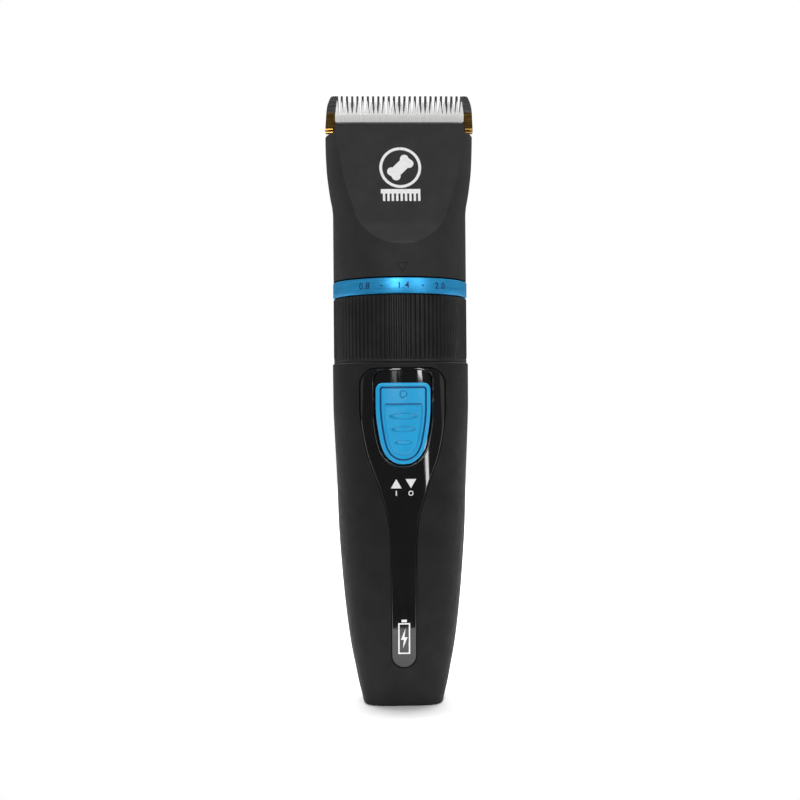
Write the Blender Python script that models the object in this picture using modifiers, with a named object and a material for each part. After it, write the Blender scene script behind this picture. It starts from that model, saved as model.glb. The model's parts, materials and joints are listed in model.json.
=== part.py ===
"""Cordless pet clipper with a detachable blade unit, a blade length ring and a slide switch.

Metres, +Z up along the handle, the switch side faces -Y, and the flat base is at z = 0.
The length ring is at its middle setting, the power switch is off and the blade unit is closed.
"""

import math

import bmesh
import bpy
from mathutils import Matrix, Vector

NAME = "pet_clipper"

# Clearance between pieces that touch, and the moulded wall of the housings.
GAP = 0.0003
WALL = 0.0020

# Handle: height, half width, half depth and squareness of each section (2 is an ellipse).
HANDLE_STATIONS = (
    (0.0000, 0.01155, 0.0092, 4.0),
    (0.0018, 0.01195, 0.0096, 3.8),
    (0.0053, 0.01285, 0.0103, 3.5),
    (0.0112, 0.01405, 0.0113, 3.1),
    (0.0171, 0.01518, 0.0122, 2.9),
    (0.0289, 0.01670, 0.0138, 2.6),
    (0.0407, 0.01775, 0.0152, 2.5),
    (0.0525, 0.01850, 0.0165, 2.4),
    (0.0642, 0.01885, 0.0176, 2.3),
    (0.0760, 0.01938, 0.0186, 2.2),
    (0.0866, 0.01978, 0.0193, 2.1),
    (0.0985, 0.01985, 0.0196, 2.0),
)
HANDLE_FLOOR = 0.0020
COLLAR_SEAT_TOP = 0.0972

# Head: the same four values. It starts round over the scale band and flares to the blade.
HEAD_STATIONS = (
    (0.1223, 0.01945, 0.01945, 2.0),
    (0.1415, 0.01945, 0.01945, 2.0),
    (0.1440, 0.01965, 0.01945, 2.0),
    (0.1467, 0.02015, 0.01945, 2.0),
    (0.1502, 0.02068, 0.01945, 2.0),
    (0.1550, 0.02120, 0.01945, 2.0),
    (0.1600, 0.02150, 0.01945, 2.0),
    (0.1670, 0.02165, 0.01945, 2.0),
)
HEAD_SHOULDER = 0.1653
HEAD_SHOULDER_HALF_WIDTH = 0.0190
# The shoulder steps down in front, where the fixed blade's wings reach past the head's sides.
WING_ROOM_BOTTOM = 0.1645
WING_ROOM = ((0.0183, -0.0015), (0.03, -0.0015), (0.03, -0.03), (0.0205, -0.03), (0.0183, -0.0075))

# The scooped front of the head, as depth and height, and the wall behind it.
SCOOP = (
    (-0.0220, 0.1298),
    (-0.0192, 0.1317),
    (-0.0182, 0.1332),
    (-0.0168, 0.1356),
    (-0.0154, 0.1380),
    (-0.0145, 0.1405),
    (-0.0138, 0.1435),
    (-0.0128, 0.1485),
    (-0.0117, 0.1550),
    (-0.0109, 0.1600),
    (-0.0095, 0.1670),
    (-0.0091, 0.1690),
)
SCOOP_WALL = 0.0015

# The back of the head slopes in below the blade unit, ending in a lip that its hook catches.
CHIN_LOW = (0.0250, 0.1248)
CHIN_LIP = (0.0080, 0.1436)
CHIN_INSIDE_LOW = (0.0212, 0.1260)
CHIN_INSIDE_LIP = (0.0064, 0.1422)

# Blade plane: leans forward from the handle's axis. Its origin is 2.9 mm beyond the teeth.
BLADE_LEAN = math.radians(25)
BLADE_ORIGIN = Vector((0.0, -0.0106, 0.1775))
BLADE_FRAME = Matrix.Translation(BLADE_ORIGIN) @ Matrix.Rotation(math.pi / 2 + BLADE_LEAN, 4, "X")
BLADE_PIVOT = Vector((0.0, 0.0057, 0.1448))

# Length ring: grip, scale band, cam sleeve and the neck that they turn on.
RIBS = 45
RIB_RADIUS = 0.0195
GROOVE_RADIUS = 0.0188
RING_BOTTOM = 0.0990
RING_TOP = 0.1172
LAND_TOP = 0.1219
LAND_RADIUS = 0.0182
BAND_RADIUS = 0.0196
NECK_RADIUS = 0.0162
BORE_RADIUS = 0.0142
SLEEVE_RADIUS = 0.0174
SLEEVE_TOP = 0.1100
CAM_HEIGHT = 0.1050
CAM_LIFT_PER_RADIAN = 0.0010
CAM_HALF_ARC = math.radians(44)

# Power switch.
BUTTON_PROUD = 0.0018
PANEL_THICKNESS = 0.0009

# Motor, battery and drive.
MOTOR_RADIUS = 0.0100
MOTOR_FLAT = 0.0078
MOTOR_BOTTOM = 0.0843
MOTOR_TOP = 0.1143
SHAFT_RADIUS = 0.0010
CRANK = 0.0010
PIN_RADIUS = 0.0008
BATTERY_RADIUS = 0.0091
BATTERY_BOTTOM = 0.0156
BATTERY_LENGTH = 0.0650
SOCKET_DEPTH = 0.0085

# Blades.
FIXED_TEETH = 23
FIXED_TIP_AT = -0.0029
FIXED_PITCH = 0.0015
FIXED_TIP = 0.00056
FIXED_ROOT = 0.0009
FIXED_DEPTH = 0.0052
WING_FOOT_AT = -0.0139
CERAMIC_TEETH = 30
CERAMIC_PITCH = 0.00123
CERAMIC_TIP = 0.00018
CERAMIC_DEPTH = 0.0033
CERAMIC_TIP_AT = -0.0044
CERAMIC_FOOT_AT = -0.0103
CUT_PLANE_GAP = 0.00015

ROUND_SIDES = 32
SMALL_SIDES = 16

# Bodies whose curved walls meet bosses and tabs at shallow angles, where the exact solver
# leaves pinholes. Both meshes of each of their cuts and joins are closed.
THIN_WALLED = ("front_shell", "rear_shell", "boss", "switch_button", "head_housing")

MATERIALS = {
    # colour, roughness, metallic
    "shell_plastic": ((0.030, 0.030, 0.031), 0.50, 0.0),
    "head_plastic": ((0.033, 0.033, 0.034), 0.55, 0.0),
    "ring_plastic": ((0.018, 0.018, 0.019), 0.55, 0.0),
    "gloss_black": ((0.004, 0.004, 0.005), 0.08, 0.0),
    "switch_blue": ((0.020, 0.350, 0.720), 0.35, 0.0),
    "band_blue": ((0.030, 0.360, 0.720), 0.35, 0.8),
    "ceramic_white": ((0.830, 0.830, 0.820), 0.25, 0.0),
    "titanium_gold": ((0.450, 0.230, 0.050), 0.30, 1.0),
    "steel": ((0.450, 0.450, 0.460), 0.30, 1.0),
    "inner_plastic": ((0.110, 0.110, 0.115), 0.50, 0.0),
    "white_plastic": ((0.700, 0.700, 0.680), 0.45, 0.0),
    "board_green": ((0.020, 0.160, 0.060), 0.45, 0.0),
    "battery_wrap": ((0.020, 0.110, 0.330), 0.40, 0.0),
    "copper": ((0.700, 0.300, 0.130), 0.35, 1.0),
    "magnet": ((0.060, 0.055, 0.055), 0.60, 0.0),
    "led_clear": ((0.800, 0.250, 0.200), 0.15, 0.0),
    "wire_red": ((0.500, 0.020, 0.020), 0.45, 0.0),
}

FRONT = Matrix.Rotation(math.pi / 2, 4, "X")
SIDE = Matrix(((0, 0, 1, 0), (1, 0, 0, 0), (0, 1, 0, 0), (0, 0, 0, 1)))


# Scene, collections and materials -------------------------------------------------------------


def clear_scene():
    for obj in list(bpy.data.objects):
        bpy.data.objects.remove(obj)


def new_collection(name):
    collection = bpy.data.collections.new(name)
    bpy.context.scene.collection.children.link(collection)
    return collection


def material(name):
    made = bpy.data.materials.get(name)
    if made:
        return made
    colour, roughness, metallic = MATERIALS[name]
    made = bpy.data.materials.new(name)
    made.use_nodes = True
    shader = made.node_tree.nodes["Principled BSDF"]
    shader.inputs["Base Color"].default_value = (*colour, 1.0)
    shader.inputs["Roughness"].default_value = roughness
    shader.inputs["Metallic"].default_value = metallic
    made.diffuse_color = (*colour, 1.0)
    return made


clear_scene()
PARTS = new_collection(NAME)
CUTTERS = new_collection("cutters")


# Making and cutting meshes --------------------------------------------------------------------


def add(name, mesh, skin=None, matrix=None):
    """An object of the clipper, or a hidden cutter where no material is given."""
    obj = bpy.data.objects.new(name, mesh)
    if matrix is not None:
        obj.matrix_world = matrix
    if skin is None:
        CUTTERS.objects.link(obj)
        obj.hide_render = True
        obj.display_type = "WIRE"
    else:
        PARTS.objects.link(obj)
        mesh.materials.append(material(skin))
        mesh.shade_smooth()
        mesh.set_sharp_from_angle(angle=math.radians(30))
    return obj


def mesh_of(bm, name):
    bmesh.ops.recalc_face_normals(bm, faces=bm.faces)
    mesh = bpy.data.meshes.new(name)
    bm.to_mesh(mesh)
    bm.free()
    return mesh


def loft(name, rings, skin=None, matrix=None):
    """A closed solid through rings of equally many points."""
    bm = bmesh.new()
    rows = [[bm.verts.new(point) for point in ring] for ring in rings]
    for low, high in zip(rows, rows[1:]):
        for i in range(len(low)):
            j = (i + 1) % len(low)
            bm.faces.new((low[i], low[j], high[j], high[i]))
    bm.faces.new(rows[0])
    bm.faces.new(rows[-1])
    bmesh.ops.triangulate(bm, faces=bm.faces)
    return add(name, mesh_of(bm, name), skin, matrix)


def prism(name, outline, low, high, skin=None, matrix=None):
    """A flat outline, as points in the XY plane, carried from low to high along Z."""
    rings = [[(x, y, z) for x, y in outline] for z in (low, high)]
    return loft(name, rings, skin, matrix)


def plate(name, outlines, low, high, skin, matrix=None):
    """A flat piece with holes: a filled 2D curve of the outlines, turned into a mesh."""
    curve = bpy.data.curves.new(name, "CURVE")
    curve.dimensions = "2D"
    curve.fill_mode = "BOTH"
    curve.extrude = (high - low) / 2
    for outline in outlines:
        spline = curve.splines.new("POLY")
        spline.points.add(len(outline) - 1)
        for point, (x, y) in zip(spline.points, outline):
            point.co = (x, y, 0, 1)
        spline.use_cyclic_u = True
    guide = bpy.data.objects.new(name + "_outline", curve)
    CUTTERS.objects.link(guide)
    mesh = made_mesh(guide, name)
    mesh.transform(Matrix.Translation((0, 0, (low + high) / 2)))
    return add(name, mesh, skin, matrix)


def made_mesh(guide, name):
    """The welded mesh of a curve object, which is then removed."""
    graph = bpy.context.evaluated_depsgraph_get()
    mesh = bpy.data.meshes.new_from_object(guide.evaluated_get(graph))
    bpy.data.objects.remove(guide)
    bm = bmesh.new()
    bm.from_mesh(mesh)
    bmesh.ops.remove_doubles(bm, verts=bm.verts, dist=1e-6)
    bpy.data.meshes.remove(mesh)
    return mesh_of(bm, name)


def wire(name, points, radius, skin):
    curve = bpy.data.curves.new(name, "CURVE")
    curve.dimensions = "3D"
    curve.bevel_depth = radius
    curve.bevel_resolution = 2
    curve.use_fill_caps = True
    spline = curve.splines.new("POLY")
    spline.points.add(len(points) - 1)
    for point, place in zip(spline.points, points):
        point.co = (*place, 1)
    obj = bpy.data.objects.new(name, curve)
    PARTS.objects.link(obj)
    curve.materials.append(material(skin))
    return obj


def block(name, low, high, skin=None, matrix=None):
    """A box between two corners."""
    bm = bmesh.new()
    low, high = Vector(low), Vector(high)
    bmesh.ops.create_cube(bm, size=1.0)
    bmesh.ops.scale(bm, vec=high - low, verts=bm.verts)
    bmesh.ops.translate(bm, vec=(low + high) / 2, verts=bm.verts)
    return add(name, mesh_of(bm, name), skin, matrix)


def rod(name, radius, low, high, skin=None, matrix=None, at=(0, 0), sides=SMALL_SIDES):
    """A cylinder along Z from low to high, with its axis at the given place."""
    bm = bmesh.new()
    bmesh.ops.create_cone(
        bm, cap_ends=True, segments=sides, radius1=radius, radius2=radius, depth=high - low
    )
    bmesh.ops.translate(bm, vec=(at[0], at[1], (low + high) / 2), verts=bm.verts)
    return add(name, mesh_of(bm, name), skin, matrix)


def tube(name, outer, inner, low, high, skin, sides=ROUND_SIDES):
    """A ring turned about the Z axis."""
    profile = bpy.data.meshes.new(name)
    corners = ((outer, 0, high), (outer, 0, low), (inner, 0, low), (inner, 0, high))
    profile.from_pydata(corners, ((0, 1), (1, 2), (2, 3), (3, 0)), ())
    obj = add(name, profile, skin)
    screw = obj.modifiers.new("turn", "SCREW")
    screw.steps = sides
    screw.render_steps = sides
    screw.use_merge_vertices = True
    screw.merge_threshold = 0.00001
    screw.use_smooth_shade = True
    return obj


def boolean(obj, other, operation):
    step = obj.modifiers.new(f"{operation.lower()} {other.name}", "BOOLEAN")
    step.operation = operation
    step.solver = "MANIFOLD" if obj.name.startswith(THIN_WALLED) else "EXACT"
    step.object = other
    return obj


def cut(obj, *cutters):
    for cutter in cutters:
        boolean(obj, cutter, "DIFFERENCE")
    return obj


def join(obj, *pieces):
    for piece in pieces:
        boolean(obj, piece, "UNION")
    return obj


def keep(obj, other):
    return boolean(obj, other, "INTERSECT")


# Outlines -------------------------------------------------------------------------------------


def circle(radius, sides, centre=(0, 0)):
    step = 2 * math.pi / sides
    return [
        (centre[0] + radius * math.cos(i * step), centre[1] + radius * math.sin(i * step))
        for i in range(sides)
    ]


def arc(centre, radius, start, end, count):
    """Points from one angle to another, in degrees."""
    angles = [math.radians(start + (end - start) * i / (count - 1)) for i in range(count)]
    return [(centre[0] + radius * math.cos(a), centre[1] + radius * math.sin(a)) for a in angles]


def section(half_width, half_depth, power, height, sides=ROUND_SIDES):
    """One ring of a superellipse."""
    ring = []
    for i in range(sides):
        angle = 2 * math.pi * i / sides
        c, s = math.cos(angle), math.sin(angle)
        x = math.copysign(abs(c) ** (2 / power), c) * half_width
        y = math.copysign(abs(s) ** (2 / power), s) * half_depth
        ring.append((x, y, height))
    return ring


def station(stations, height):
    """The section's values at any height, straight between the stations."""
    for low, high in zip(stations, stations[1:]):
        if height <= high[0]:
            break
    share = (height - low[0]) / (high[0] - low[0])
    return [a + (b - a) * share for a, b in zip(low, high)]


def stations_loft(name, stations, grow=0.0, low=None, high=None, skin=None):
    """The lofted body, grown or shrunk by a distance, between two heights."""
    low = stations[0][0] if low is None else low
    high = stations[-1][0] if high is None else high
    inner = [row[0] for row in stations if low < row[0] < high]
    rings = []
    for height in [low, *inner, high]:
        _, width, depth, power = station(stations, height)
        rings.append(section(width + grow, depth + grow, power, height))
    return loft(name, rings, skin)


def mirrored(right):
    """A closed outline from its right side, listed from the top centre to the bottom centre."""
    left = [(-x, y) for x, y in reversed(right) if x > 1e-6]
    return right + left


def grown(outline, distance):
    """The outline moved outwards by a distance, for an outline that runs clockwise."""
    moved = []
    for i, here in enumerate(outline):
        before, after = Vector(outline[i - 1]), Vector(outline[(i + 1) % len(outline)])
        here = Vector(here)
        first, second = (here - before).normalized(), (after - here).normalized()
        bisector = Vector((-first.y - second.y, first.x + second.x)).normalized()
        reach = distance / max(0.3, bisector.dot(Vector((-first.y, first.x))))
        moved.append(tuple(here + bisector * reach))
    return moved


def panel_outline():
    corner = arc((0.00725, 0.0920), 0.0048, 90, 0, 6)
    side = [
        (0.01205, 0.0850),
        (0.0116, 0.0803),
        (0.0109, 0.0762),
        (0.0099, 0.0719),
        (0.0084, 0.0678),
        (0.0070, 0.0640),
        (0.00595, 0.0605),
        (0.0048, 0.0566),
        (0.0039, 0.0520),
        (0.0036, 0.0470),
    ]
    end = arc((0, 0.0150), 0.0035, 0, -90, 6)
    return mirrored([(0, 0.0968), *corner, *side, *end])


def button_outline():
    corner = arc((0.00565, 0.0906), 0.0020, 90, 0, 5)
    side = [
        (0.00765, 0.0845),
        (0.0073, 0.0810),
        (0.0068, 0.0778),
        (0.0061, 0.0745),
        (0.0049, 0.0722),
        (0.0034, 0.0709),
        (0.0000, 0.0700),
    ]
    return mirrored([(0, 0.0926), *corner, *side])


def motor_outline(radius, flat):
    return [(x, max(-flat, min(flat, y))) for x, y in circle(radius, 32)]


# Handle ---------------------------------------------------------------------------------------

LOW_SCREWS = (0.0076, 0.0090)
HIGH_SCREWS = (0.0140, 0.0880)


def handle_half(name, side):
    """The front (-1) or rear (+1) housing shell, before its own openings."""
    shell = stations_loft(name, HANDLE_STATIONS, skin="shell_plastic")
    inside = stations_loft(
        name + "_inside", HANDLE_STATIONS, -WALL, HANDLE_FLOOR, COLLAR_SEAT_TOP
    )
    mouth = rod(name + "_mouth", NECK_RADIUS + 0.0004, 0.096, 0.100, sides=ROUND_SIDES)
    socket_hole = rod(name + "_socket_hole", 0.0035, -0.001, 0.004, sides=24)
    other_half = block(
        name + "_other_half", (-0.03, -side * 0.03, -0.01), (0.03, side * GAP / 2, 0.12)
    )
    cut(shell, inside, mouth, socket_hole)
    within = stations_loft(name + "_boss_limit", HANDLE_STATIONS, -WALL / 2)
    radius = 0.0033 if side > 0 else 0.0023
    for x, z in (LOW_SCREWS, HIGH_SCREWS):
        for sign in (-1, 1):
            low, high = sorted((0.0, -side * 0.02))
            boss = rod(f"boss_{name}", radius, low, high, matrix=FRONT, at=(sign * x, z))
            join(shell, keep(boss, within))
    return cut(shell, other_half)


def front_shell():
    shell = handle_half("front_shell", -1)
    recess = prism("panel_recess", grown(panel_outline(), GAP), 0.005, 0.025, matrix=FRONT)
    floor = stations_loft("panel_floor", HANDLE_STATIONS, -PANEL_THICKNESS - GAP)
    cut(recess, floor)
    slot = block("shell_switch_slot", (-0.0020, -0.025, 0.0765), (0.0020, -0.012, 0.0865))
    light_hole = rod("light_hole", 0.0013, 0.012, 0.020, matrix=FRONT, at=(0, 0.0485))
    cut(shell, recess, slot, light_hole)
    for (x, z), deep in ((LOW_SCREWS, 0.0060), (HIGH_SCREWS, 0.0080)):
        for sign in (-1, 1):
            hole = rod("screw_bore", 0.0013, -0.001, deep, matrix=FRONT, at=(sign * x, z))
            cut(shell, hole)
    return shell


def rear_shell():
    shell = handle_half("rear_shell", 1)
    for (x, z), head in ((LOW_SCREWS, 0.0062), (HIGH_SCREWS, 0.0090)):
        for sign in (-1, 1):
            hole = rod("screw_hole", 0.0013, -0.030, 0.001, matrix=FRONT, at=(sign * x, z))
            well = rod("screw_well", 0.0024, -0.030, -head, matrix=FRONT, at=(sign * x, z))
            cut(shell, hole, well)
    return shell


def housing_screws():
    rows = ((LOW_SCREWS, 0.0062, 0.0050), (HIGH_SCREWS, 0.0090, 0.0070))
    number = 1
    for (x, z), head, tip in rows:
        for sign in (-1, 1):
            at = (sign * x, z)
            back = -head - GAP
            screw = rod(
                f"housing_screw_{number}", 0.0020, back - 0.0014, back, "steel", FRONT, at
            )
            shaft = rod("screw_shaft", 0.0010, back - 0.0005, tip, matrix=FRONT, at=at)
            slot = block(
                "screw_slot",
                (at[0] - 0.0015, at[1] - 0.0003, back - 0.0020),
                (at[0] + 0.0015, at[1] + 0.0003, back - 0.0008),
                matrix=FRONT,
            )
            cut(join(screw, shaft), slot)
            number += 1


def switch_panel():
    panel = stations_loft("switch_panel", HANDLE_STATIONS, skin="gloss_black")
    keep(panel, prism("panel_prism", panel_outline(), 0.005, 0.025, matrix=FRONT))
    back = stations_loft("panel_back", HANDLE_STATIONS, -PANEL_THICKNESS, -0.001, 0.0990)
    slot = block("panel_switch_slot", (-0.0020, -0.025, 0.0765), (0.0020, -0.012, 0.0865))
    return cut(panel, back, slot)


def switch_button():
    button = stations_loft(
        "switch_button", HANDLE_STATIONS, BUTTON_PROUD, 0.060, 0.098, "switch_blue"
    )
    keep(button, prism("button_prism", button_outline(), 0.005, 0.030, matrix=FRONT))
    cut(button, stations_loft("button_back", HANDLE_STATIONS, GAP, 0.050, 0.0985))
    tongue = block("button_tongue", (-0.0016, -0.0198, 0.0780), (0.0016, -0.0173, 0.0820))
    return join(button, tongue)


def slide_switch():
    body = block("slide_switch_body", (-0.0045, -0.0153, 0.0750), (0.0045, -0.0119, 0.0870), "steel")
    lever = block("slide_switch_lever", (-0.0012, -0.0170, 0.0790), (0.0012, -0.0156, 0.0810),
                  "white_plastic")
    return body, lever


def charge_socket():
    """The barrel socket in the base, with its contact pin."""
    socket = rod("charge_socket", 0.0032, 0.0004, 0.0104, "inner_plastic")
    flange = rod("socket_flange", 0.0040, 0.0024, 0.0038)
    bore = rod("socket_bore", 0.00175, -0.001, SOCKET_DEPTH)
    rod("socket_pin", 0.0005, 0.0020, SOCKET_DEPTH - GAP, "steel", sides=12)
    return cut(join(socket, flange), bore)


def electronics():
    outline = [(-0.0090, 0.0460), (0.0090, 0.0460), (0.0090, 0.0940), (-0.0090, 0.0940)]
    plate("circuit_board", [outline], 0.0102, 0.0116, "board_green", FRONT)
    block("control_chip", (-0.0030, -0.0130, 0.0580), (0.0030, -0.0119, 0.0640), "magnet")
    light = rod("charge_light", 0.0015, 0.0119, 0.0130, "led_clear", FRONT, (0, 0.0485))
    dome = rod("light_dome", 0.0009, 0.0125, 0.0143, matrix=FRONT, at=(0, 0.0485))
    join(light, dome)
    charge_socket()
    slide_switch()


def battery():
    centre = (0, 0.0006)
    top = BATTERY_BOTTOM + BATTERY_LENGTH
    cell = rod("battery_cell", BATTERY_RADIUS, BATTERY_BOTTOM, top - 0.0008, "battery_wrap",
               at=centre, sides=32)
    cap = rod("battery_cap", 0.0030, top - 0.0012, top, at=centre)
    join(cell, cap)
    block("battery_tab_top", (-0.0035, -0.0040, top + GAP), (0.0035, 0.0040, top + 0.0007), "steel")
    block(
        "battery_tab_bottom",
        (-0.0035, -0.0040, BATTERY_BOTTOM - 0.0007),
        (0.0035, 0.0040, BATTERY_BOTTOM - GAP),
        "steel",
    )
    for name, skin, x, low in (
        ("battery_wire_red", "wire_red", 0.0060, 0.0700),
        ("battery_wire_black", "magnet", -0.0060, 0.0640),
    ):
        points = [(x, -0.0096, low), (x, -0.0094, low + 0.003), (x, -0.0092, 0.0800),
                  (x * 0.9, -0.0080, 0.0815), (x * 0.8, -0.0060, 0.0818)]
        wire(name, points, 0.0004, skin)


# Motor and drive ------------------------------------------------------------------------------


def motor():
    can = prism("motor_can", motor_outline(MOTOR_RADIUS, MOTOR_FLAT), MOTOR_BOTTOM, MOTOR_TOP, "steel")
    hollow = prism(
        "motor_hollow",
        motor_outline(MOTOR_RADIUS - 0.0008, MOTOR_FLAT - 0.0008),
        MOTOR_BOTTOM - 0.001,
        MOTOR_TOP - 0.0010,
    )
    cut(can, hollow, rod("can_shaft_hole", 0.0016, 0.110, 0.120))
    end_cap = prism(
        "motor_end_cap", motor_outline(MOTOR_RADIUS, MOTOR_FLAT), 0.0824, 0.0840, "white_plastic"
    )
    cut(end_cap, rod("end_cap_hole", 0.0014, 0.080, 0.086))
    for name, turn in (("motor_magnet_left", 180), ("motor_magnet_right", 0)):
        outer = arc((0, 0), 0.0088, turn - 45, turn + 45, 9)
        inner = arc((0, 0), 0.0073, turn + 45, turn - 45, 9)
        prism(name, outer + inner, 0.0880, 0.1080, "magnet")
    outline = [(max(-0.0109, min(0.0109, x)), y) for x, y in circle(0.0139, 48)]
    plate("motor_bracket", [outline, circle(0.0030, 24)], 0.1152, 0.1168, "steel")
    tube("shaft_bush", 0.0027, SHAFT_RADIUS + GAP, 0.1147, 0.1172, "copper", 24)


def motor_rotor():
    tube("motor_armature", 0.0064, SHAFT_RADIUS + GAP, 0.0880, 0.1080, "copper", 24)
    rod("motor_shaft", SHAFT_RADIUS, 0.0830, 0.1208, "steel")
    cam = rod("eccentric_cam", 0.0042, 0.1186, 0.1230, "white_plastic", sides=24)
    pin = rod("drive_pin", PIN_RADIUS, 0.1225, 0.1400, at=(0, -CRANK))
    cut(join(cam, pin), rod("cam_shaft_hole", SHAFT_RADIUS + GAP, 0.1180, 0.1211))


# Length ring ----------------------------------------------------------------------------------


def ring_grip():
    outline = []
    for i in range(RIBS):
        middle = 2 * math.pi * i / RIBS
        for offset, radius in ((-0.32, RIB_RADIUS), (0.32, GROOVE_RADIUS)):
            angle = middle + offset * 2 * math.pi / RIBS
            outline.append((radius * math.cos(angle), radius * math.sin(angle)))
    grip = prism("ring_grip", outline, RING_BOTTOM, RING_TOP, "ring_plastic")
    land = rod("ring_land", LAND_RADIUS, RING_TOP - 0.001, LAND_TOP, sides=ROUND_SIDES)
    bore = rod("ring_bore", NECK_RADIUS + GAP, 0.090, 0.130, sides=ROUND_SIDES)
    seat = rod("sleeve_seat", SLEEVE_RADIUS + GAP, 0.090, SLEEVE_TOP + GAP, sides=ROUND_SIDES)
    return cut(join(grip, land), bore, seat)


def scale_band():
    return tube("scale_band", BAND_RADIUS, LAND_RADIUS + GAP, RING_TOP + GAP, LAND_TOP, "band_blue", 64)


def cam_slot(name, start):
    """A helical window in the cam sleeve, which lifts the follower as the ring turns."""
    rings = []
    steps = 8
    for i in range(steps + 1):
        angle = CAM_HALF_ARC * (2 * i / steps - 1)
        height = CAM_HEIGHT - CAM_LIFT_PER_RADIAN * angle
        ring = []
        for radius, lift in ((0.0155, -1), (0.0190, -1), (0.0190, 1), (0.0155, 1)):
            ring.append(
                (
                    radius * math.cos(start + angle),
                    radius * math.sin(start + angle),
                    height + lift * 0.0016,
                )
            )
        rings.append(ring)
    return loft(name, rings)


def cam_sleeve():
    sleeve = tube("cam_sleeve", SLEEVE_RADIUS, NECK_RADIUS + GAP, 0.0996, SLEEVE_TOP, "white_plastic")
    return cut(sleeve, cam_slot("cam_slot_right", 0.0), cam_slot("cam_slot_left", math.pi))


def cam_follower():
    """The collar round the motor, with lugs out to the cam and push rods up to the carrier."""
    collar = tube("cam_follower", 0.0138, 0.0112, 0.1030, 0.1070, "white_plastic")
    for sign in (-1, 1):
        x = sorted((sign * 0.0132, sign * 0.0171))
        lug = block("follower_lug", (x[0], -0.0015, 0.1038), (x[1], 0.0015, 0.1062))
        x = sorted((sign * 0.0116, sign * 0.0132))
        push = block("push_rod", (x[0], -0.0030, 0.1050), (x[1], 0.0000, 0.1506))
        join(collar, lug, push)
    return collar


# Head -----------------------------------------------------------------------------------------


def side_cutter(name, profile, half_width=0.03):
    """A solid of one depth and height profile right across the head."""
    return prism(name, profile, -half_width, half_width, matrix=SIDE)


def behind_blade(height, offset):
    """The depth of the blade plane, moved back by an offset, at a height."""
    drop = (BLADE_ORIGIN.z - height) * math.tan(BLADE_LEAN)
    return BLADE_ORIGIN.y + drop + offset / math.cos(BLADE_LEAN)


def head_housing():
    housing = stations_loft("head_housing", HEAD_STATIONS, skin="head_plastic")
    neck = rod("neck", NECK_RADIUS, 0.0946, 0.1240, sides=ROUND_SIDES)
    flange = rod("neck_flange", 0.0173, 0.0946, 0.0969, sides=ROUND_SIDES)
    scoop = side_cutter("scoop", [*SCOOP, (-0.030, 0.1690), (-0.030, 0.1290)])
    back = side_cutter(
        "head_back",
        [CHIN_LOW, CHIN_LIP, (behind_blade(0.170, 0.0022), 0.170), (0.025, 0.170)],
    )
    inside = stations_loft("head_inside", HEAD_STATIONS, -0.0018, 0.1255, 0.1670)
    lining = [(y + SCOOP_WALL, z) for y, z in SCOOP[1:]]
    room = [
        (-0.025, 0.1240),
        (CHIN_INSIDE_LOW[0], 0.1240),
        CHIN_INSIDE_LOW,
        CHIN_INSIDE_LIP,
        (CHIN_INSIDE_LIP[0], CHIN_LIP[1]),
        (0.0250, CHIN_LIP[1]),
        (0.0250, 0.1690),
        *reversed(lining),
        (-0.025, 0.1312),
    ]
    keep(inside, side_cutter("head_room", room))
    mouth = block("head_mouth", (-0.0300, -0.0084, HEAD_SHOULDER), (0.0300, 0.0100, 0.1690))
    cut(join(housing, neck, flange), rod("neck_bore", BORE_RADIUS, 0.090, 0.1260, sides=ROUND_SIDES))
    cut(housing, inside, scoop, back, mouth)
    for sign in (-1, 1):
        x = sorted((sign * HEAD_SHOULDER_HALF_WIDTH, sign * 0.03))
        shoulder = block("shoulder", (x[0], -0.03, HEAD_SHOULDER), (x[1], 0.03, 0.170))
        outline = [(sign * x, y) for x, y in WING_ROOM]
        wing_room = prism("wing_room", outline, WING_ROOM_BOTTOM, 0.170)
        x = sorted((sign * 0.0130, sign * 0.0170))
        slot = block("follower_slot", (x[0], -0.0018, 0.1026), (x[1], 0.0018, 0.1074))
        cut(housing, shoulder, wing_room, slot)
    pocket = block("detent_pocket", (-0.0028, 0.0151, 0.1040), (0.0028, 0.0180, 0.1130))
    return cut(housing, pocket)


def detent_spring():
    return block("detent_spring", (-0.0025, 0.0154, 0.1043), (0.0025, 0.0159, 0.1127), "steel")


# Blade unit, drawn in the blade frame: across, up to the tips, and out from the plane ---------


def fixed_blade_outline():
    half_teeth = FIXED_PITCH * FIXED_TEETH / 2
    root = FIXED_TIP_AT - FIXED_DEPTH
    corner = [
        (half_teeth + 0.0001, root),
        (half_teeth + 0.0003, FIXED_TIP_AT),
        (0.0190, FIXED_TIP_AT),
        (0.0194, FIXED_TIP_AT - 0.0002),
        (0.0202, -0.0045),
        (0.0207, -0.0061),
        (0.0210, -0.0078),
        (0.0214, -0.0122),
        (0.0213, WING_FOOT_AT),
        (0.0186, WING_FOOT_AT),
        (0.0172, -0.0270),
    ]
    outline = [(-x, y) for x, y in reversed(corner)]
    for i in range(FIXED_TEETH):
        middle = -half_teeth + FIXED_PITCH * (i + 0.5)
        outline += [
            (middle - FIXED_ROOT / 2, root),
            (middle - FIXED_TIP / 2, FIXED_TIP_AT),
            (middle + FIXED_TIP / 2, FIXED_TIP_AT),
            (middle + FIXED_ROOT / 2, root),
        ]
    return outline + corner


def fixed_blade():
    holes = [circle(0.0013, 16, (x, -0.0240)) for x in (-0.0150, 0.0150)]
    return plate(
        "fixed_blade",
        [fixed_blade_outline(), *holes],
        -0.0018,
        -CUT_PLANE_GAP,
        "titanium_gold",
        BLADE_FRAME,
    )


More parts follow.
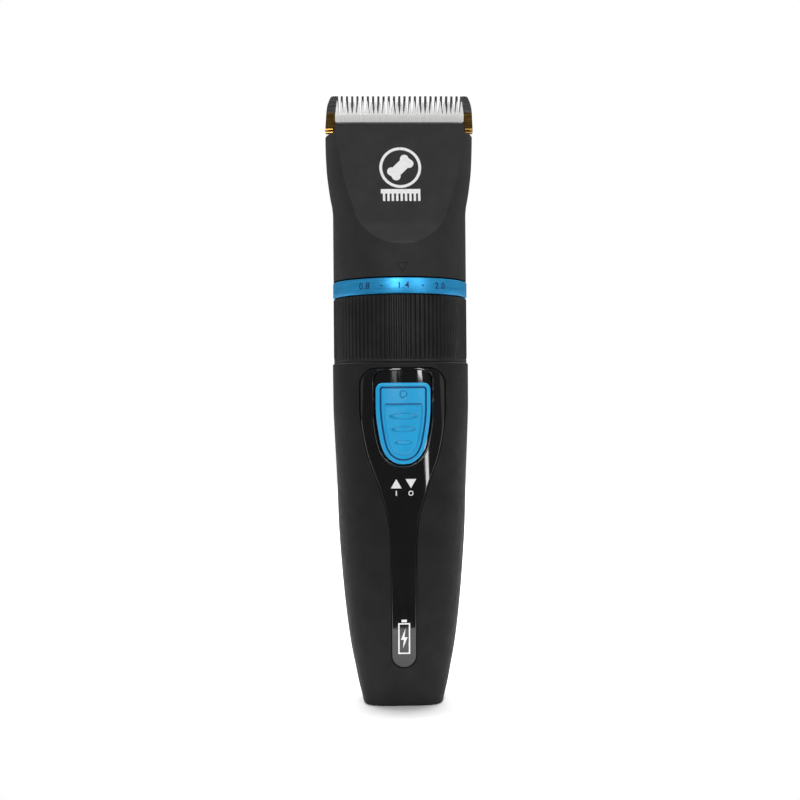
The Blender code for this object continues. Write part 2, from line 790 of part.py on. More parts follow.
def moving_blade():
    root = CERAMIC_TIP_AT - CERAMIC_DEPTH
    half_teeth = CERAMIC_PITCH * CERAMIC_TEETH / 2
    outline = [(-half_teeth, root)]
    for i in range(CERAMIC_TEETH):
        middle = -half_teeth + CERAMIC_PITCH * (i + 0.5)
        outline += [
            (middle - CERAMIC_TIP / 2, CERAMIC_TIP_AT),
            (middle + CERAMIC_TIP / 2, CERAMIC_TIP_AT),
            (middle + CERAMIC_PITCH / 2, root),
        ]
    width = half_teeth
    outline += arc((width - 0.0008, CERAMIC_FOOT_AT + 0.0008), 0.0008, 0, -90, 4)
    outline += arc((-width + 0.0008, CERAMIC_FOOT_AT + 0.0008), 0.0008, -90, -180, 4)
    blade = plate(
        "moving_blade", [outline], CUT_PLANE_GAP, 0.0021, "ceramic_white", BLADE_FRAME
    )
    foot = block(
        "ceramic_foot",
        (-0.0100, -0.0300, CUT_PLANE_GAP),
        (0.0100, CERAMIC_FOOT_AT + 0.001, 0.0012),
        matrix=BLADE_FRAME,
    )
    return join(blade, foot)


def drive_fork():
    fork = block(
        "drive_fork", (-0.0052, -0.0325, 0.0015), (0.0052, -0.0275, 0.0040), "white_plastic",
        BLADE_FRAME,
    )
    for sign in (-1, 1):
        x = sorted((sign * 0.0030, sign * 0.0052))
        prong = block("fork_prong", (x[0], -0.0022, 0.1300), (x[1], 0.0014, 0.1490))
        join(fork, prong)
    return fork


def cutter_carrier():
    carrier = block(
        "cutter_carrier", (-0.0136, -0.0270, 0.0015), (0.0136, -0.0175, 0.0036), "inner_plastic",
        BLADE_FRAME,
    )
    for sign in (-1, 1):
        x = sorted((sign * 0.0114, sign * 0.0136))
        rail = block(
            "carrier_rail",
            (x[0], -0.0265, CUT_PLANE_GAP),
            (x[1], -0.0180, 0.0020),
            matrix=BLADE_FRAME,
        )
        join(carrier, rail)
    return carrier


def blade_base():
    base = block(
        "blade_base", (-0.0166, -0.0360, CUT_PLANE_GAP), (0.0166, -0.0185, 0.0040),
        "inner_plastic", BLADE_FRAME,
    )
    window = block("base_window", (-0.0140, -0.0345, 0.0012), (0.0140, -0.0100, 0.0060),
                   matrix=BLADE_FRAME)
    floor = block("base_floor", (-0.0140, -0.0335, -0.0030), (0.0140, -0.0100, 0.0060),
                  matrix=BLADE_FRAME)
    front = block("base_front", (-0.0140, -0.0400, 0.0010), (0.0140, -0.0300, 0.0080),
                  matrix=BLADE_FRAME)
    back = block("base_back", (-0.0166, -0.0360, -0.0018), (0.0166, -0.0274, 0.0008),
                 matrix=BLADE_FRAME)
    hook = block("base_hook", (-0.0080, -0.0378, 0.0000), (0.0080, -0.0355, 0.0010),
                 matrix=BLADE_FRAME)
    cut(base, window, floor)
    join(base, back)
    rear_window = block("rear_window", (-0.0140, -0.0335, -0.0002), (0.0140, -0.0100, 0.0060),
                        matrix=BLADE_FRAME)
    cut(base, rear_window, front)
    join(base, hook)
    for x in (-0.0150, 0.0150):
        cut(base, rod("base_screw_hole", 0.0012, -0.004, 0.0034, matrix=BLADE_FRAME, at=(x, -0.0240)))
    return base


def blade_screws():
    for name, x in (("blade_screw_left", -0.0150), ("blade_screw_right", 0.0150)):
        at = (x, -0.0240)
        screw = rod(name, 0.0020, -0.0030, -0.0021, "steel", BLADE_FRAME, at, 20)
        shaft = rod("blade_screw_shaft", 0.0009, -0.0025, 0.0030, matrix=BLADE_FRAME, at=at)
        slot = block(
            "blade_screw_slot", (x - 0.0014, -0.0243, -0.0040), (x + 0.0014, -0.0237, -0.0026),
            matrix=BLADE_FRAME,
        )
        cut(join(screw, shaft), slot)


def blade_spring():
    """A bowed wire between the two arms of the base, pressing the carrier on the cutter."""
    points = []
    for i in range(13):
        across = -0.0154 + 0.0308 * i / 12
        bow = 0.0030 * (1 - (across / 0.0154) ** 2)
        points.append(BLADE_FRAME @ Vector((across, -0.0200 - bow, 0.0047)))
    return wire("blade_spring", points, 0.00035, "steel")


def hang_blade_unit():
    """The blade unit's pieces hang from an empty on the axis about which it tips off the head."""
    hinge = bpy.data.objects.new("blade_unit_hinge", None)
    hinge.location = BLADE_PIVOT
    hinge.empty_display_size = 0.005
    PARTS.objects.link(hinge)
    names = (
        "fixed_blade",
        "blade_base",
        "blade_screw_left",
        "blade_screw_right",
        "blade_spring",
        "cutter_carrier",
        "moving_blade",
        "drive_fork",
    )
    for name in names:
        piece = bpy.data.objects[name]
        piece.parent = hinge
        piece.matrix_parent_inverse = Matrix.Translation(-BLADE_PIVOT)


def main():
    front_shell()
    rear_shell()
    housing_screws()
    switch_panel()
    switch_button()
    electronics()
    battery()
    motor()
    motor_rotor()
    ring_grip()
    scale_band()
    cam_sleeve()
    cam_follower()
    head_housing()
    detent_spring()
    fixed_blade()
    moving_blade()
    drive_fork()
    cutter_carrier()
    blade_base()
    blade_screws()
    blade_spring()
    hang_blade_unit()


main()
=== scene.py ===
"""The looks of the pet clipper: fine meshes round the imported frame, materials, light and camera."""

import json
import math

import bmesh
import bpy
import numpy as np
from mathutils import Matrix, Vector


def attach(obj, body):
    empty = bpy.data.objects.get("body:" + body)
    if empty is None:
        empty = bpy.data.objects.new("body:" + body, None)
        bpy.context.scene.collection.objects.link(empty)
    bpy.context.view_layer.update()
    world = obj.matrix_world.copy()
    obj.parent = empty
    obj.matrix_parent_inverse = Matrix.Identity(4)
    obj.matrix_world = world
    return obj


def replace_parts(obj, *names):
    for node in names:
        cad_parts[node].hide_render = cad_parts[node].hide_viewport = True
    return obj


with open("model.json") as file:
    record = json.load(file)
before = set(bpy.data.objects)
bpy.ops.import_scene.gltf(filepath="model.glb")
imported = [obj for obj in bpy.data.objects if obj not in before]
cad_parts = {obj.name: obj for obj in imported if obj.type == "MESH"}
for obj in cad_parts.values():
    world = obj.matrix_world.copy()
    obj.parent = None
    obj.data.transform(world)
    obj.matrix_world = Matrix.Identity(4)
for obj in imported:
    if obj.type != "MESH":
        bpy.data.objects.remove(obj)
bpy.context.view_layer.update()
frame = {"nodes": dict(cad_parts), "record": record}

MM = 0.001


# Shapes that the frame's solids share ------

# Heights, half widths and half depths in millimetres, and the squareness of each section.
HANDLE_STATIONS = (
    (0.0, 11.55, 9.2, 4.0),
    (1.8, 11.95, 9.6, 3.8),
    (5.3, 12.85, 10.3, 3.5),
    (11.2, 14.05, 11.3, 3.1),
    (17.1, 15.18, 12.2, 2.9),
    (28.9, 16.70, 13.8, 2.6),
    (40.7, 17.75, 15.2, 2.5),
    (52.5, 18.50, 16.5, 2.4),
    (64.2, 18.85, 17.6, 2.3),
    (76.0, 19.38, 18.6, 2.2),
    (86.6, 19.78, 19.3, 2.1),
    (98.5, 19.85, 19.6, 2.0),
)
HEAD_RADIUS = 19.45
HEAD_WIDTHS = (
    (122.3, HEAD_RADIUS),
    (141.5, HEAD_RADIUS),
    (144.0, 19.65),
    (146.7, 20.15),
    (150.2, 20.68),
    (155.0, 21.20),
    (160.0, 21.44),
    (167.0, 21.62),
)
HEAD_STATIONS = tuple((height, width, HEAD_RADIUS, 2.0) for height, width in HEAD_WIDTHS)
# Depth and height along the scooped front of the head.
SCOOP = (
    *((-22.0, 129.8), (-19.2, 131.7), (-18.2, 133.2), (-16.8, 135.6), (-15.4, 138.0), (-14.5, 140.5)),
    *((-13.8, 143.5), (-12.8, 148.5), (-11.7, 155.0), (-10.9, 160.0), (-9.5, 167.0), (-9.1, 169.0)),
)
SCOOP_WALL = 1.5
HEAD_SHOULDER = 165.3
# Past everything, for cutters that have to reach through.
BEYOND = 30.0
WING_ROOM = ((18.3, -1.5), (BEYOND, -1.5), (BEYOND, -BEYOND), (20.5, -BEYOND), (18.3, -7.5))
WING_ROOM_FOOT = 164.5
PARTING = 0.08
# Prisms between these depths pass through the whole front.
THROUGH_FRONT = (5, 25)
SHELL_WALL = 2.0
SHELL_EDGE = 0.55

BLADE_LEAN = math.radians(25)
BLADE_ORIGIN = Vector((0.0, -10.6, 177.5))
BLADE_FRAME = Matrix.Translation(BLADE_ORIGIN) @ Matrix.Rotation(math.pi / 2 + BLADE_LEAN, 4, "X")
# An outline in XY drawn from the front, with its thickness along -Y, or from the side, along X.
FRONT = Matrix.Rotation(math.pi / 2, 4, "X")
SIDE = Matrix(((0, 0, 1, 0), (1, 0, 0, 0), (0, 1, 0, 0), (0, 0, 0, 1)))
BLADE_SIDE = BLADE_FRAME @ SIDE


def smooth_curve(knots, values, at):
    """Monotone cubic through the knots, read at any places."""
    knots, values, at = (np.asarray(v, float) for v in (knots, values, at))
    step = np.diff(knots)
    rise = np.diff(values) / step
    slope = np.zeros(len(knots))
    slope[0], slope[-1] = rise[0], rise[-1]
    for i in range(1, len(knots) - 1):
        if rise[i - 1] * rise[i] > 0:
            a, b = 2 * step[i] + step[i - 1], step[i] + 2 * step[i - 1]
            slope[i] = (a + b) / (a / rise[i - 1] + b / rise[i])
    i = np.clip(np.searchsorted(knots, at) - 1, 0, len(step) - 1)
    t = (at - knots[i]) / step[i]
    return (
        (2 * t**3 - 3 * t**2 + 1) * values[i]
        + (t**3 - 2 * t**2 + t) * step[i] * slope[i]
        + (-2 * t**3 + 3 * t**2) * values[i + 1]
        + (t**3 - t**2) * step[i] * slope[i + 1]
    )


def sizes_at(stations, height):
    heights = [row[0] for row in stations]
    return [smooth_curve(heights, [row[k] for row in stations], height) for k in (1, 2, 3)]


def front_depth(x, z, grow=0.0):
    """How far in front of the axis the handle's surface lies."""
    width, depth, power = sizes_at(HANDLE_STATIONS, z)
    inside = np.clip(1 - np.abs(x / (width + grow)) ** power, 0, 1)
    return (depth + grow) * inside ** (1 / power)


def on_handle(x, z, lift):
    """Points above the handle's front by a lift along its normal, seen at x and z from the front."""
    e, mean_radius = 0.02, 19.7
    x = x / (1 + np.asarray(lift) / mean_radius)
    here = front_depth(x, z)
    across = -(front_depth(x + e, z) - front_depth(x - e, z)) / (2 * e)
    along = -(front_depth(x, z + e) - front_depth(x, z - e)) / (2 * e)
    normal = np.stack([across, -np.ones_like(across), along], -1)
    normal /= np.linalg.norm(normal, axis=-1, keepdims=True)
    return np.stack([x, -here, z], -1) + normal * np.asarray(lift)[..., None]


# Mesh helpers: every length below is in millimetres until an object is made ----


def new_object(name, mesh, sharp=30):
    obj = bpy.data.objects.new(name, mesh)
    bpy.context.scene.collection.objects.link(obj)
    mesh.shade_smooth()
    mesh.set_sharp_from_angle(angle=math.radians(sharp))
    return obj


def from_bmesh(name, bm, sharp=30, matrix=None):
    if matrix is not None:
        bmesh.ops.transform(bm, matrix=matrix, verts=bm.verts)
    bmesh.ops.scale(bm, vec=(MM, MM, MM), verts=bm.verts)
    bmesh.ops.recalc_face_normals(bm, faces=bm.faces)
    mesh = bpy.data.meshes.new(name)
    bm.to_mesh(mesh)
    bm.free()
    return new_object(name, mesh, sharp)


def loft(name, rings, matrix=None, sharp=30, joined=False):
    """A closed solid through rings of equally many points, capped or joined up end to end."""
    bm = bmesh.new()
    rows = [[bm.verts.new(point) for point in ring] for ring in rings]
    for low, high in zip(rows, rows[1:] + (rows[:1] if joined else [])):
        for i in range(len(low)):
            j = (i + 1) % len(low)
            bm.faces.new((low[i], low[j], high[j], high[i]))
    if not joined:
        bm.faces.new(rows[0])
        bm.faces.new(rows[-1])
    return from_bmesh(name, bm, sharp, matrix)


def prism(name, outline, low, high, matrix=None):
    return loft(name, [[(x, y, z) for x, y in outline] for z in (low, high)], matrix)


def rod(name, radius, low, high, matrix=None, at=(0, 0), sides=32):
    return prism(name, circle(radius, sides, at), low, high, matrix)


def block(name, low, high, matrix=None):
    x, y, z = zip(low, high)
    outline = [(x[0], y[0]), (x[1], y[0]), (x[1], y[1]), (x[0], y[1])]
    return prism(name, outline, z[0], z[1], matrix)


def turned(name, profile, sides, sharp=30):
    """A closed ring or a solid turned about Z from (radius, height) points, outside first."""
    bm = bmesh.new()
    rows = []
    for i in range(sides):
        c, s = math.cos(2 * math.pi * i / sides), math.sin(2 * math.pi * i / sides)
        rows.append([bm.verts.new((r * c, r * s, z)) for r, z in profile])
    for i in range(sides):
        a, b = rows[i], rows[(i + 1) % sides]
        for j in range(len(profile)):
            k = (j + 1) % len(profile)
            bm.faces.new((a[j], b[j], b[k], a[k]))
    bmesh.ops.remove_doubles(bm, verts=bm.verts, dist=1e-5)
    return from_bmesh(name, bm, sharp)


def moved(obj, matrix):
    """Moves a finished mesh by a matrix in millimetres."""
    obj.data.transform(Matrix.Scale(MM, 4) @ matrix @ Matrix.Scale(1 / MM, 4))
    return obj


def circle(radius, sides, centre=(0, 0)):
    return arc(centre, radius, 0, 360 - 360 / sides, sides)


def arc(centre, radius, start, end, count):
    angles = np.radians(np.linspace(start, end, count))
    return [(centre[0] + radius * math.cos(a), centre[1] + radius * math.sin(a)) for a in angles]


def mirrored(right):
    """A closed outline from its right side, listed from the top centre to the bottom centre."""
    return right + [(-x, y) for x, y in reversed(right) if x > 1e-6]


def grown(outline, distance):
    """A clockwise outline moved outwards by a distance."""
    outer = []
    for i, here in enumerate(outline):
        before, after = Vector(outline[i - 1]), Vector(outline[(i + 1) % len(outline)])
        here = Vector(here)
        first, second = (here - before).normalized(), (after - here).normalized()
        bisector = Vector((-first.y - second.y, first.x + second.x)).normalized()
        reach = distance / max(0.3, bisector.dot(Vector((-first.y, first.x))))
        outer.append(tuple(here + bisector * reach))
    return outer


def smoothed(points):
    """An open line with its corners cut twice over, its ends kept."""
    for _ in range(2):
        finer = [points[0]]
        for a, b in zip(points, points[1:]):
            for share in (0.25, 0.75):
                finer.append(tuple((1 - share) * p + share * q for p, q in zip(a, b)))
        points = finer + [points[-1]]
    return points


def section(width, depth, power, height, sides):
    angle = np.linspace(0, 2 * math.pi, sides, endpoint=False)
    c, s = np.cos(angle), np.sin(angle)
    x = np.sign(c) * np.abs(c) ** (2 / power) * width
    y = np.sign(s) * np.abs(s) ** (2 / power) * depth
    return [(float(a), float(b), height) for a, b in zip(x, y)]


def round_over(low, high, radius, height):
    """How far a section draws in near the body's ends, for edges of that radius."""
    near = min(height - low, high - height)
    if near >= radius:
        return 0.0
    return radius - math.sqrt(max(0.0, radius**2 - (radius - near) ** 2))


def fine_loft(name, stations, grow=0.0, low=None, high=None, rows=90, sides=192, edge=0.0):
    low = stations[0][0] if low is None else low
    high = stations[-1][0] if high is None else high
    heights = list(np.linspace(low, high, rows))
    if edge:
        steps = edge * (1 - np.cos(np.linspace(0, math.pi / 2, 6)))
        heights = sorted(
            {round(float(h), 4) for h in [*heights, *(low + steps), *(high - steps)]}
        )
    rings = []
    for height in heights:
        width, depth, power = (float(v) for v in sizes_at(stations, height))
        inset = round_over(low, high, edge, height) if edge else 0.0
        rings.append(section(width + grow - inset, depth + grow - inset, power, height, sides))
    return loft(name, rings)


def evaluated_mesh(obj):
    graph = bpy.context.evaluated_depsgraph_get()
    return bpy.data.meshes.new_from_object(obj.evaluated_get(graph))


def curve_mesh(name, curve, triangles=False):
    """A curve turned into a mesh with its seams closed, in metres."""
    guide = bpy.data.objects.new(name, curve)
    bpy.context.scene.collection.objects.link(guide)
    mesh = evaluated_mesh(guide)
    bpy.data.objects.remove(guide)
    bm = bmesh.new()
    bm.from_mesh(mesh)
    bmesh.ops.remove_doubles(bm, verts=bm.verts, dist=1e-7)
    if triangles:
        bmesh.ops.triangulate(bm, faces=bm.faces)
    bm.to_mesh(mesh)
    bm.free()
    return mesh


def combine(obj, operation, *others):
    """Applies Booleans, and removes the other objects."""
    for other in others:
        step = obj.modifiers.new("cut", "BOOLEAN")
        step.operation = operation
        step.solver = "MANIFOLD"
        step.object = other
        bpy.context.view_layer.update()
        mesh = evaluated_mesh(obj)
        obj.modifiers.clear()
        old = obj.data
        obj.data = mesh
        bpy.data.meshes.remove(old)
        bpy.data.objects.remove(other)
    obj.data.shade_smooth()
    obj.data.set_sharp_from_angle(angle=math.radians(28))
    return obj


def cut(obj, *others):
    return combine(obj, "DIFFERENCE", *others)


def join(obj, *others):
    return combine(obj, "UNION", *others)


def keep(obj, other):
    return combine(obj, "INTERSECT", other)


def softened(obj, width):
    """Small rounded edges, as a moulding tool leaves them."""
    bevel = obj.modifiers.new("edges", "BEVEL")
    bevel.width = width * MM
    bevel.segments = 2
    bevel.limit_method = "ANGLE"
    bevel.angle_limit = math.radians(35)
    bevel.harden_normals = True
    return obj


def bead(name, points, radius):
    """A fine round bead along a closed line of points, as a mesh."""
    curve = bpy.data.curves.new(name, "CURVE")
    curve.dimensions = "3D"
    curve.bevel_depth = radius * MM
    curve.bevel_resolution = 3
    curve.use_fill_caps = False
    spline = curve.splines.new("POLY")
    spline.points.add(len(points) - 1)
    for point, place in zip(spline.points, points):
        point.co = (*(Vector(place) * MM), 1)
    spline.use_cyclic_u = True
    return new_object(name, curve_mesh(name, curve), 60)


def outline_distance(x, z, outline):
    """Distance inside (positive) or outside (negative) a closed outline, for arrays of places."""
    a = np.asarray(outline, float)
    b = np.roll(a, -1, axis=0)
    px, pz = x[..., None], z[..., None]
    run = b - a
    t = ((px - a[:, 0]) * run[:, 0] + (pz - a[:, 1]) * run[:, 1]) / (run**2).sum(1)
    t = np.clip(t, 0, 1)
    far = np.hypot(px - a[:, 0] - t * run[:, 0], pz - a[:, 1] - t * run[:, 1]).min(-1)
    crosses = ((a[:, 1] > pz) != (b[:, 1] > pz)) & (
        px < a[:, 0] + (pz - a[:, 1]) * run[:, 0] / np.where(run[:, 1] == 0, 1e-9, run[:, 1])
    )
    return np.where(crosses.sum(-1) % 2 == 1, far, -far)


def ease(t):
    t = np.clip(t, 0, 1)
    return t * t * (3 - 2 * t)


def rounded_edge(inside, radius):
    """How far a face with a rounded edge lies below its flat middle, as a negative height."""
    short = radius - np.clip(inside, 0, radius)
    return np.sqrt(np.maximum(0, radius**2 - short**2)) - radius


def line(distance, half_width, full=1.2):
    """The share of a groove, or of a navy line of inking and painted shade, near a line, from 0 to 1."""
    return ease(full - np.abs(distance) / half_width)


def half_widths(outline, heights):
    """Half the outline's width at each height."""
    points = np.asarray(outline, float)
    right = points[points[:, 0] >= -1e-6]
    right = right[np.argsort(right[:, 1], kind="stable")]
    return np.interp(heights, right[:, 1], right[:, 0])


def relief(name, outline, heights, columns, lift, floor, ink_and_painted_shade=None):
    """A plate on the handle's front. lift(x, z) is its face above the handle, floor its back."""
    narrowest, bunch = 0.02, math.pi / 2 * 0.82
    widths = np.maximum(half_widths(outline, heights), narrowest)
    across = np.sin(np.linspace(-1, 1, columns) * bunch) / math.sin(bunch)
    x = across[None, :] * widths[:, None]
    z = np.repeat(np.asarray(heights)[:, None], columns, axis=1)
    face = on_handle(x, z, lift(x, z)).reshape(-1, 3)
    back = on_handle(x, z, np.full_like(x, floor)).reshape(-1, 3)
    rows, n = len(heights), len(heights) * columns
    bm = bmesh.new()
    verts = [bm.verts.new(p) for p in np.concatenate([face, back])]
    for i in range(rows - 1):
        for j in range(columns - 1):
            k = i * columns + j
            ring = (k, k + 1, k + columns + 1, k + columns)
            bm.faces.new([verts[v] for v in ring])
            bm.faces.new([verts[v + n] for v in reversed(ring)])
    rim = (
        [j for j in range(columns)]
        + [i * columns + columns - 1 for i in range(1, rows)]
        + [(rows - 1) * columns + j for j in range(columns - 2, -1, -1)]
        + [i * columns for i in range(rows - 2, 0, -1)]
    )
    for a, b in zip(rim, rim[1:] + rim[:1]):
        bm.faces.new((verts[b], verts[a], verts[a + n], verts[b + n]))
    obj = from_bmesh(name, bm, 50)
    # An optional darkening of the face per point, partly inked lines and partly painted shade in its
    # hollows.
    if ink_and_painted_shade is not None:
        layer = obj.data.attributes.new("ink_and_painted_shade", "FLOAT", "POINT")
        darkening = np.zeros(2 * n, np.float32)
        darkening[:n] = ink_and_painted_shade(x, z).reshape(-1)
        layer.data.foreach_set("value", darkening)
    return obj


def spaced(low, high, count, bunch):
    """Heights from low to high, bunched towards both ends."""
    t = np.linspace(0, 1, count)
    return low + (high - low) * (t * (1 - bunch) + bunch * (1 - np.cos(math.pi * t)) / 2)


# Materials ---------------------------------


class Skin:
    """A Principled material and short calls for the nodes that feed it."""

    def __init__(self, name, **values):
        self.material = bpy.data.materials.new(name)
        self.material.use_nodes = True
        self.tree = self.material.node_tree
        self.shader = self.tree.nodes["Principled BSDF"]
        self.place = self.node("ShaderNodeTexCoord").outputs["Object"]
        for key, value in values.items():
            socket = key.replace("_", " ").title().replace("Ior", "IOR")
            self.shader.inputs[socket].default_value = value

    def node(self, kind, **values):
        made = self.tree.nodes.new(kind)
        for key, value in values.items():
            setattr(made, key, value)
        return made

    def link(self, a, b):
        self.tree.links.new(a, b)

    def stretched(self, scale):
        mapping = self.node("ShaderNodeMapping")
        mapping.inputs["Scale"].default_value = scale
        self.link(self.place, mapping.inputs["Vector"])
        return mapping.outputs["Vector"]

    def noise(self, scale, detail, stretch=None):
        made = self.node("ShaderNodeTexNoise")
        made.inputs["Scale"].default_value = scale
        made.inputs["Detail"].default_value = detail
        made.inputs["Roughness"].default_value = 0.5
        self.link(self.stretched(stretch) if stretch else self.place, made.inputs["Vector"])
        return made.outputs["Fac"]

    def ramp(self, value, *stops):
        made = self.node("ShaderNodeValToRGB")
        bar = made.color_ramp
        while len(bar.elements) < len(stops):
            bar.elements.new(0.5)
        for element, (at, colour) in zip(bar.elements, stops):
            element.position = at
            element.color = (*colour, 1)
        self.link(value, made.inputs["Fac"])
        return made.outputs["Color"]

    def range(self, value, low, high, start=0.3, end=0.7):
        made = self.node("ShaderNodeMapRange")
        for key, number in zip(("From Min", "From Max", "To Min", "To Max"), (start, end, low, high)):
            made.inputs[key].default_value = number
        self.link(value, made.inputs["Value"])
        return made.outputs["Result"]

    def mix(self, share, first, second):
        made = self.node("ShaderNodeMix", data_type="RGBA")
        self.link(share, made.inputs["Factor"])
        for socket, colour in ((made.inputs["A"], first), (made.inputs["B"], second)):
            if isinstance(colour, tuple):
                socket.default_value = (*colour, 1)
            else:
                self.link(colour, socket)
        return made.outputs["Result"]

    def colour(self, value):
        self.link(value, self.shader.inputs["Base Color"])

    def rough(self, value):
        self.link(value, self.shader.inputs["Roughness"])

    def bump(self, value, strength, distance):
        made = self.node("ShaderNodeBump")
        made.inputs["Strength"].default_value = strength
        made.inputs["Distance"].default_value = distance
        self.link(value, made.inputs["Height"])
        self.link(made.outputs["Normal"], self.shader.inputs["Normal"])

    def mottled(self, scale, detail, first, second):
        """The first colour with soft patches of the second."""
        return self.mix(self.range(self.noise(scale, detail), 0, 1), first, second)


def moulded(name, dark, light, roughness, specular=0.35):
    """Moulded plastic with a fine spark-eroded grain and faint mottling."""
    skin = Skin(name, specular_ior_level=specular)
    skin.colour(skin.mottled(160, 4, dark, light))
    skin.rough(skin.range(skin.noise(500, 3), roughness - 0.05, roughness + 0.06))
    skin.bump(skin.noise(2600, 2), 0.35, 0.00003)
    return skin.material


def gloss_black():
    skin = Skin("gloss_black", specular_ior_level=0.9, coat_weight=0.15, coat_roughness=0.03)
    skin.colour(skin.mottled(90, 5, (0.003, 0.003, 0.003), (0.006, 0.006, 0.007)))
    skin.rough(skin.range(skin.noise(900, 5, (1, 1, 0.15)), 0.04, 0.11, 0.4, 0.75))
    skin.bump(skin.noise(60, 2), 0.08, 0.0001)
    return skin.material


def switch_blue():
    """Satin blue moulding, navy along its groove partly as inking and partly as painted shade, along its
    ring as inking, and along the dish's edges and round the ridges as painted shade.
    """
    skin = Skin("switch_blue", specular_ior_level=0.4)
    ink_and_painted_shade = skin.node("ShaderNodeAttribute", attribute_name="ink_and_painted_shade").outputs["Fac"]
    body = skin.mottled(220, 4, (0.010, 0.375, 0.735), (0.014, 0.420, 0.800))
    # Navy where the attribute is high: inked lines, and painted shade at the dish's edges, round the ridges
    # and in the groove.
    skin.colour(skin.mix(ink_and_painted_shade, body, (0.002, 0.055, 0.215)))
    skin.rough(skin.range(skin.noise(600, 3), 0.30, 0.40))
    skin.bump(skin.noise(2400, 2), 0.25, 0.00002)
    return skin.material


def band_blue():
    """Anodised band, brushed round its length."""
    skin = Skin("band_blue", metallic=0.55, specular_ior_level=0.5)
    brushed = skin.noise(900, 4, (0.12, 0.12, 3.0))
    fleck = skin.noise(3800, 2)
    body = skin.mix(skin.range(brushed, 0, 1), (0.020, 0.315, 0.680), (0.032, 0.420, 0.820))
    skin.colour(skin.mix(skin.range(fleck, 0, 0.25, 0.5, 0.8), body, (0.10, 0.55, 0.95)))
    skin.rough(skin.range(brushed, 0.30, 0.46))
    skin.bump(brushed, 0.20, 0.00002)
    return skin.material


def ceramic_white():
    skin = Skin("ceramic_white", subsurface_weight=0.08, subsurface_scale=0.0006, coat_weight=0.15)
    skin.shader.inputs["Subsurface Radius"].default_value = (1.0, 0.95, 0.9)
    ground = skin.noise(1400, 4, (3.0, 0.15, 0.15))
    skin.colour(skin.mix(skin.range(ground, 0, 1), (0.78, 0.78, 0.77), (0.86, 0.86, 0.855)))
    skin.rough(skin.range(ground, 0.24, 0.36))
    skin.bump(ground, 0.12, 0.00001)
    return skin.material


def blade_steel():
    """Titanium coated steel, ground bare at the teeth above a slightly uneven line."""
    bare_from, bare_to, uneven = 0.17068, 0.17082, 0.0003
    skin = Skin("titanium_and_steel", metallic=1.0)
    height = skin.node("ShaderNodeSeparateXYZ")
    skin.link(skin.place, height.inputs["Vector"])
    wobble = skin.noise(700, 3)
    across = skin.node("ShaderNodeMath", operation="MULTIPLY_ADD")
    skin.link(wobble, across.inputs[0])
    across.inputs[1].default_value = uneven
    skin.link(height.outputs["Z"], across.inputs[2])
    bare = skin.range(across.outputs["Value"], 0, 1, bare_from, bare_to)
    ground = skin.noise(1100, 5, (0.2, 4.0, 4.0))
    gold = skin.mix(skin.range(ground, 0, 1), (0.330, 0.185, 0.035), (0.520, 0.320, 0.095))
    steel = skin.mix(skin.range(ground, 0, 1), (0.300, 0.305, 0.315), (0.430, 0.435, 0.445))
    skin.colour(skin.mix(bare, gold, steel))
    skin.rough(skin.range(ground, 0.24, 0.38))
    skin.bump(ground, 0.15, 0.00001)
    return skin.material


def bright_steel(name, tint):
    skin = Skin(name, metallic=1.0)
    drawn = skin.noise(800, 4, (1, 1, 4))
    dark = tuple(c * 0.72 for c in tint)
    skin.colour(skin.mix(skin.range(drawn, 0, 1), dark, tint))
    skin.rough(skin.range(drawn, 0.22, 0.38))
    skin.bump(drawn, 0.12, 0.00001)
    return skin.material


def printed(name, dark, light):
    """Printed marks, a little uneven in colour and sheen."""
    skin = Skin(name, specular_ior_level=0.3)
    skin.colour(skin.mottled(1500, 4, dark, light))
    skin.rough(skin.range(skin.noise(1200, 3), 0.38, 0.52))
    return skin.material


def circuit_green():
    """Solder mask over a maze of tracks and pads."""
    skin = Skin("circuit_green", specular_ior_level=0.5)
    brick = skin.node("ShaderNodeTexBrick")
    brick.inputs["Scale"].default_value = 420
    skin.link(skin.place, brick.inputs["Vector"])
    tracks = skin.ramp(brick.outputs["Fac"], (0.3, (0.012, 0.110, 0.040)), (0.7, (0.03, 0.20, 0.08)))
    skin.colour(skin.mix(skin.range(skin.noise(200, 3), 0, 0.5), tracks, (0.010, 0.085, 0.030)))
    skin.rough(skin.range(skin.noise(300, 3), 0.3, 0.45))
    skin.bump(brick.outputs["Fac"], 0.2, 0.00003)
    return skin.material


def clear_red():
    skin = Skin("clear_red", transmission_weight=0.5, ior=1.45)
    skin.colour(skin.mottled(300, 3, (0.55, 0.05, 0.03), (0.80, 0.12, 0.08)))
    skin.rough(skin.range(skin.noise(800, 3), 0.08, 0.2))
    return skin.material


SHELL = moulded("shell_plastic", (0.0125, 0.0125, 0.0130), (0.0175, 0.0175, 0.018), 0.58, 0.13)
GLOSS = gloss_black()
WHITE_INK = printed("printed_white", (0.80, 0.80, 0.80), (0.90, 0.90, 0.90))
NAVY_INK = printed("printed_navy", (0.006, 0.030, 0.110), (0.010, 0.045, 0.150))

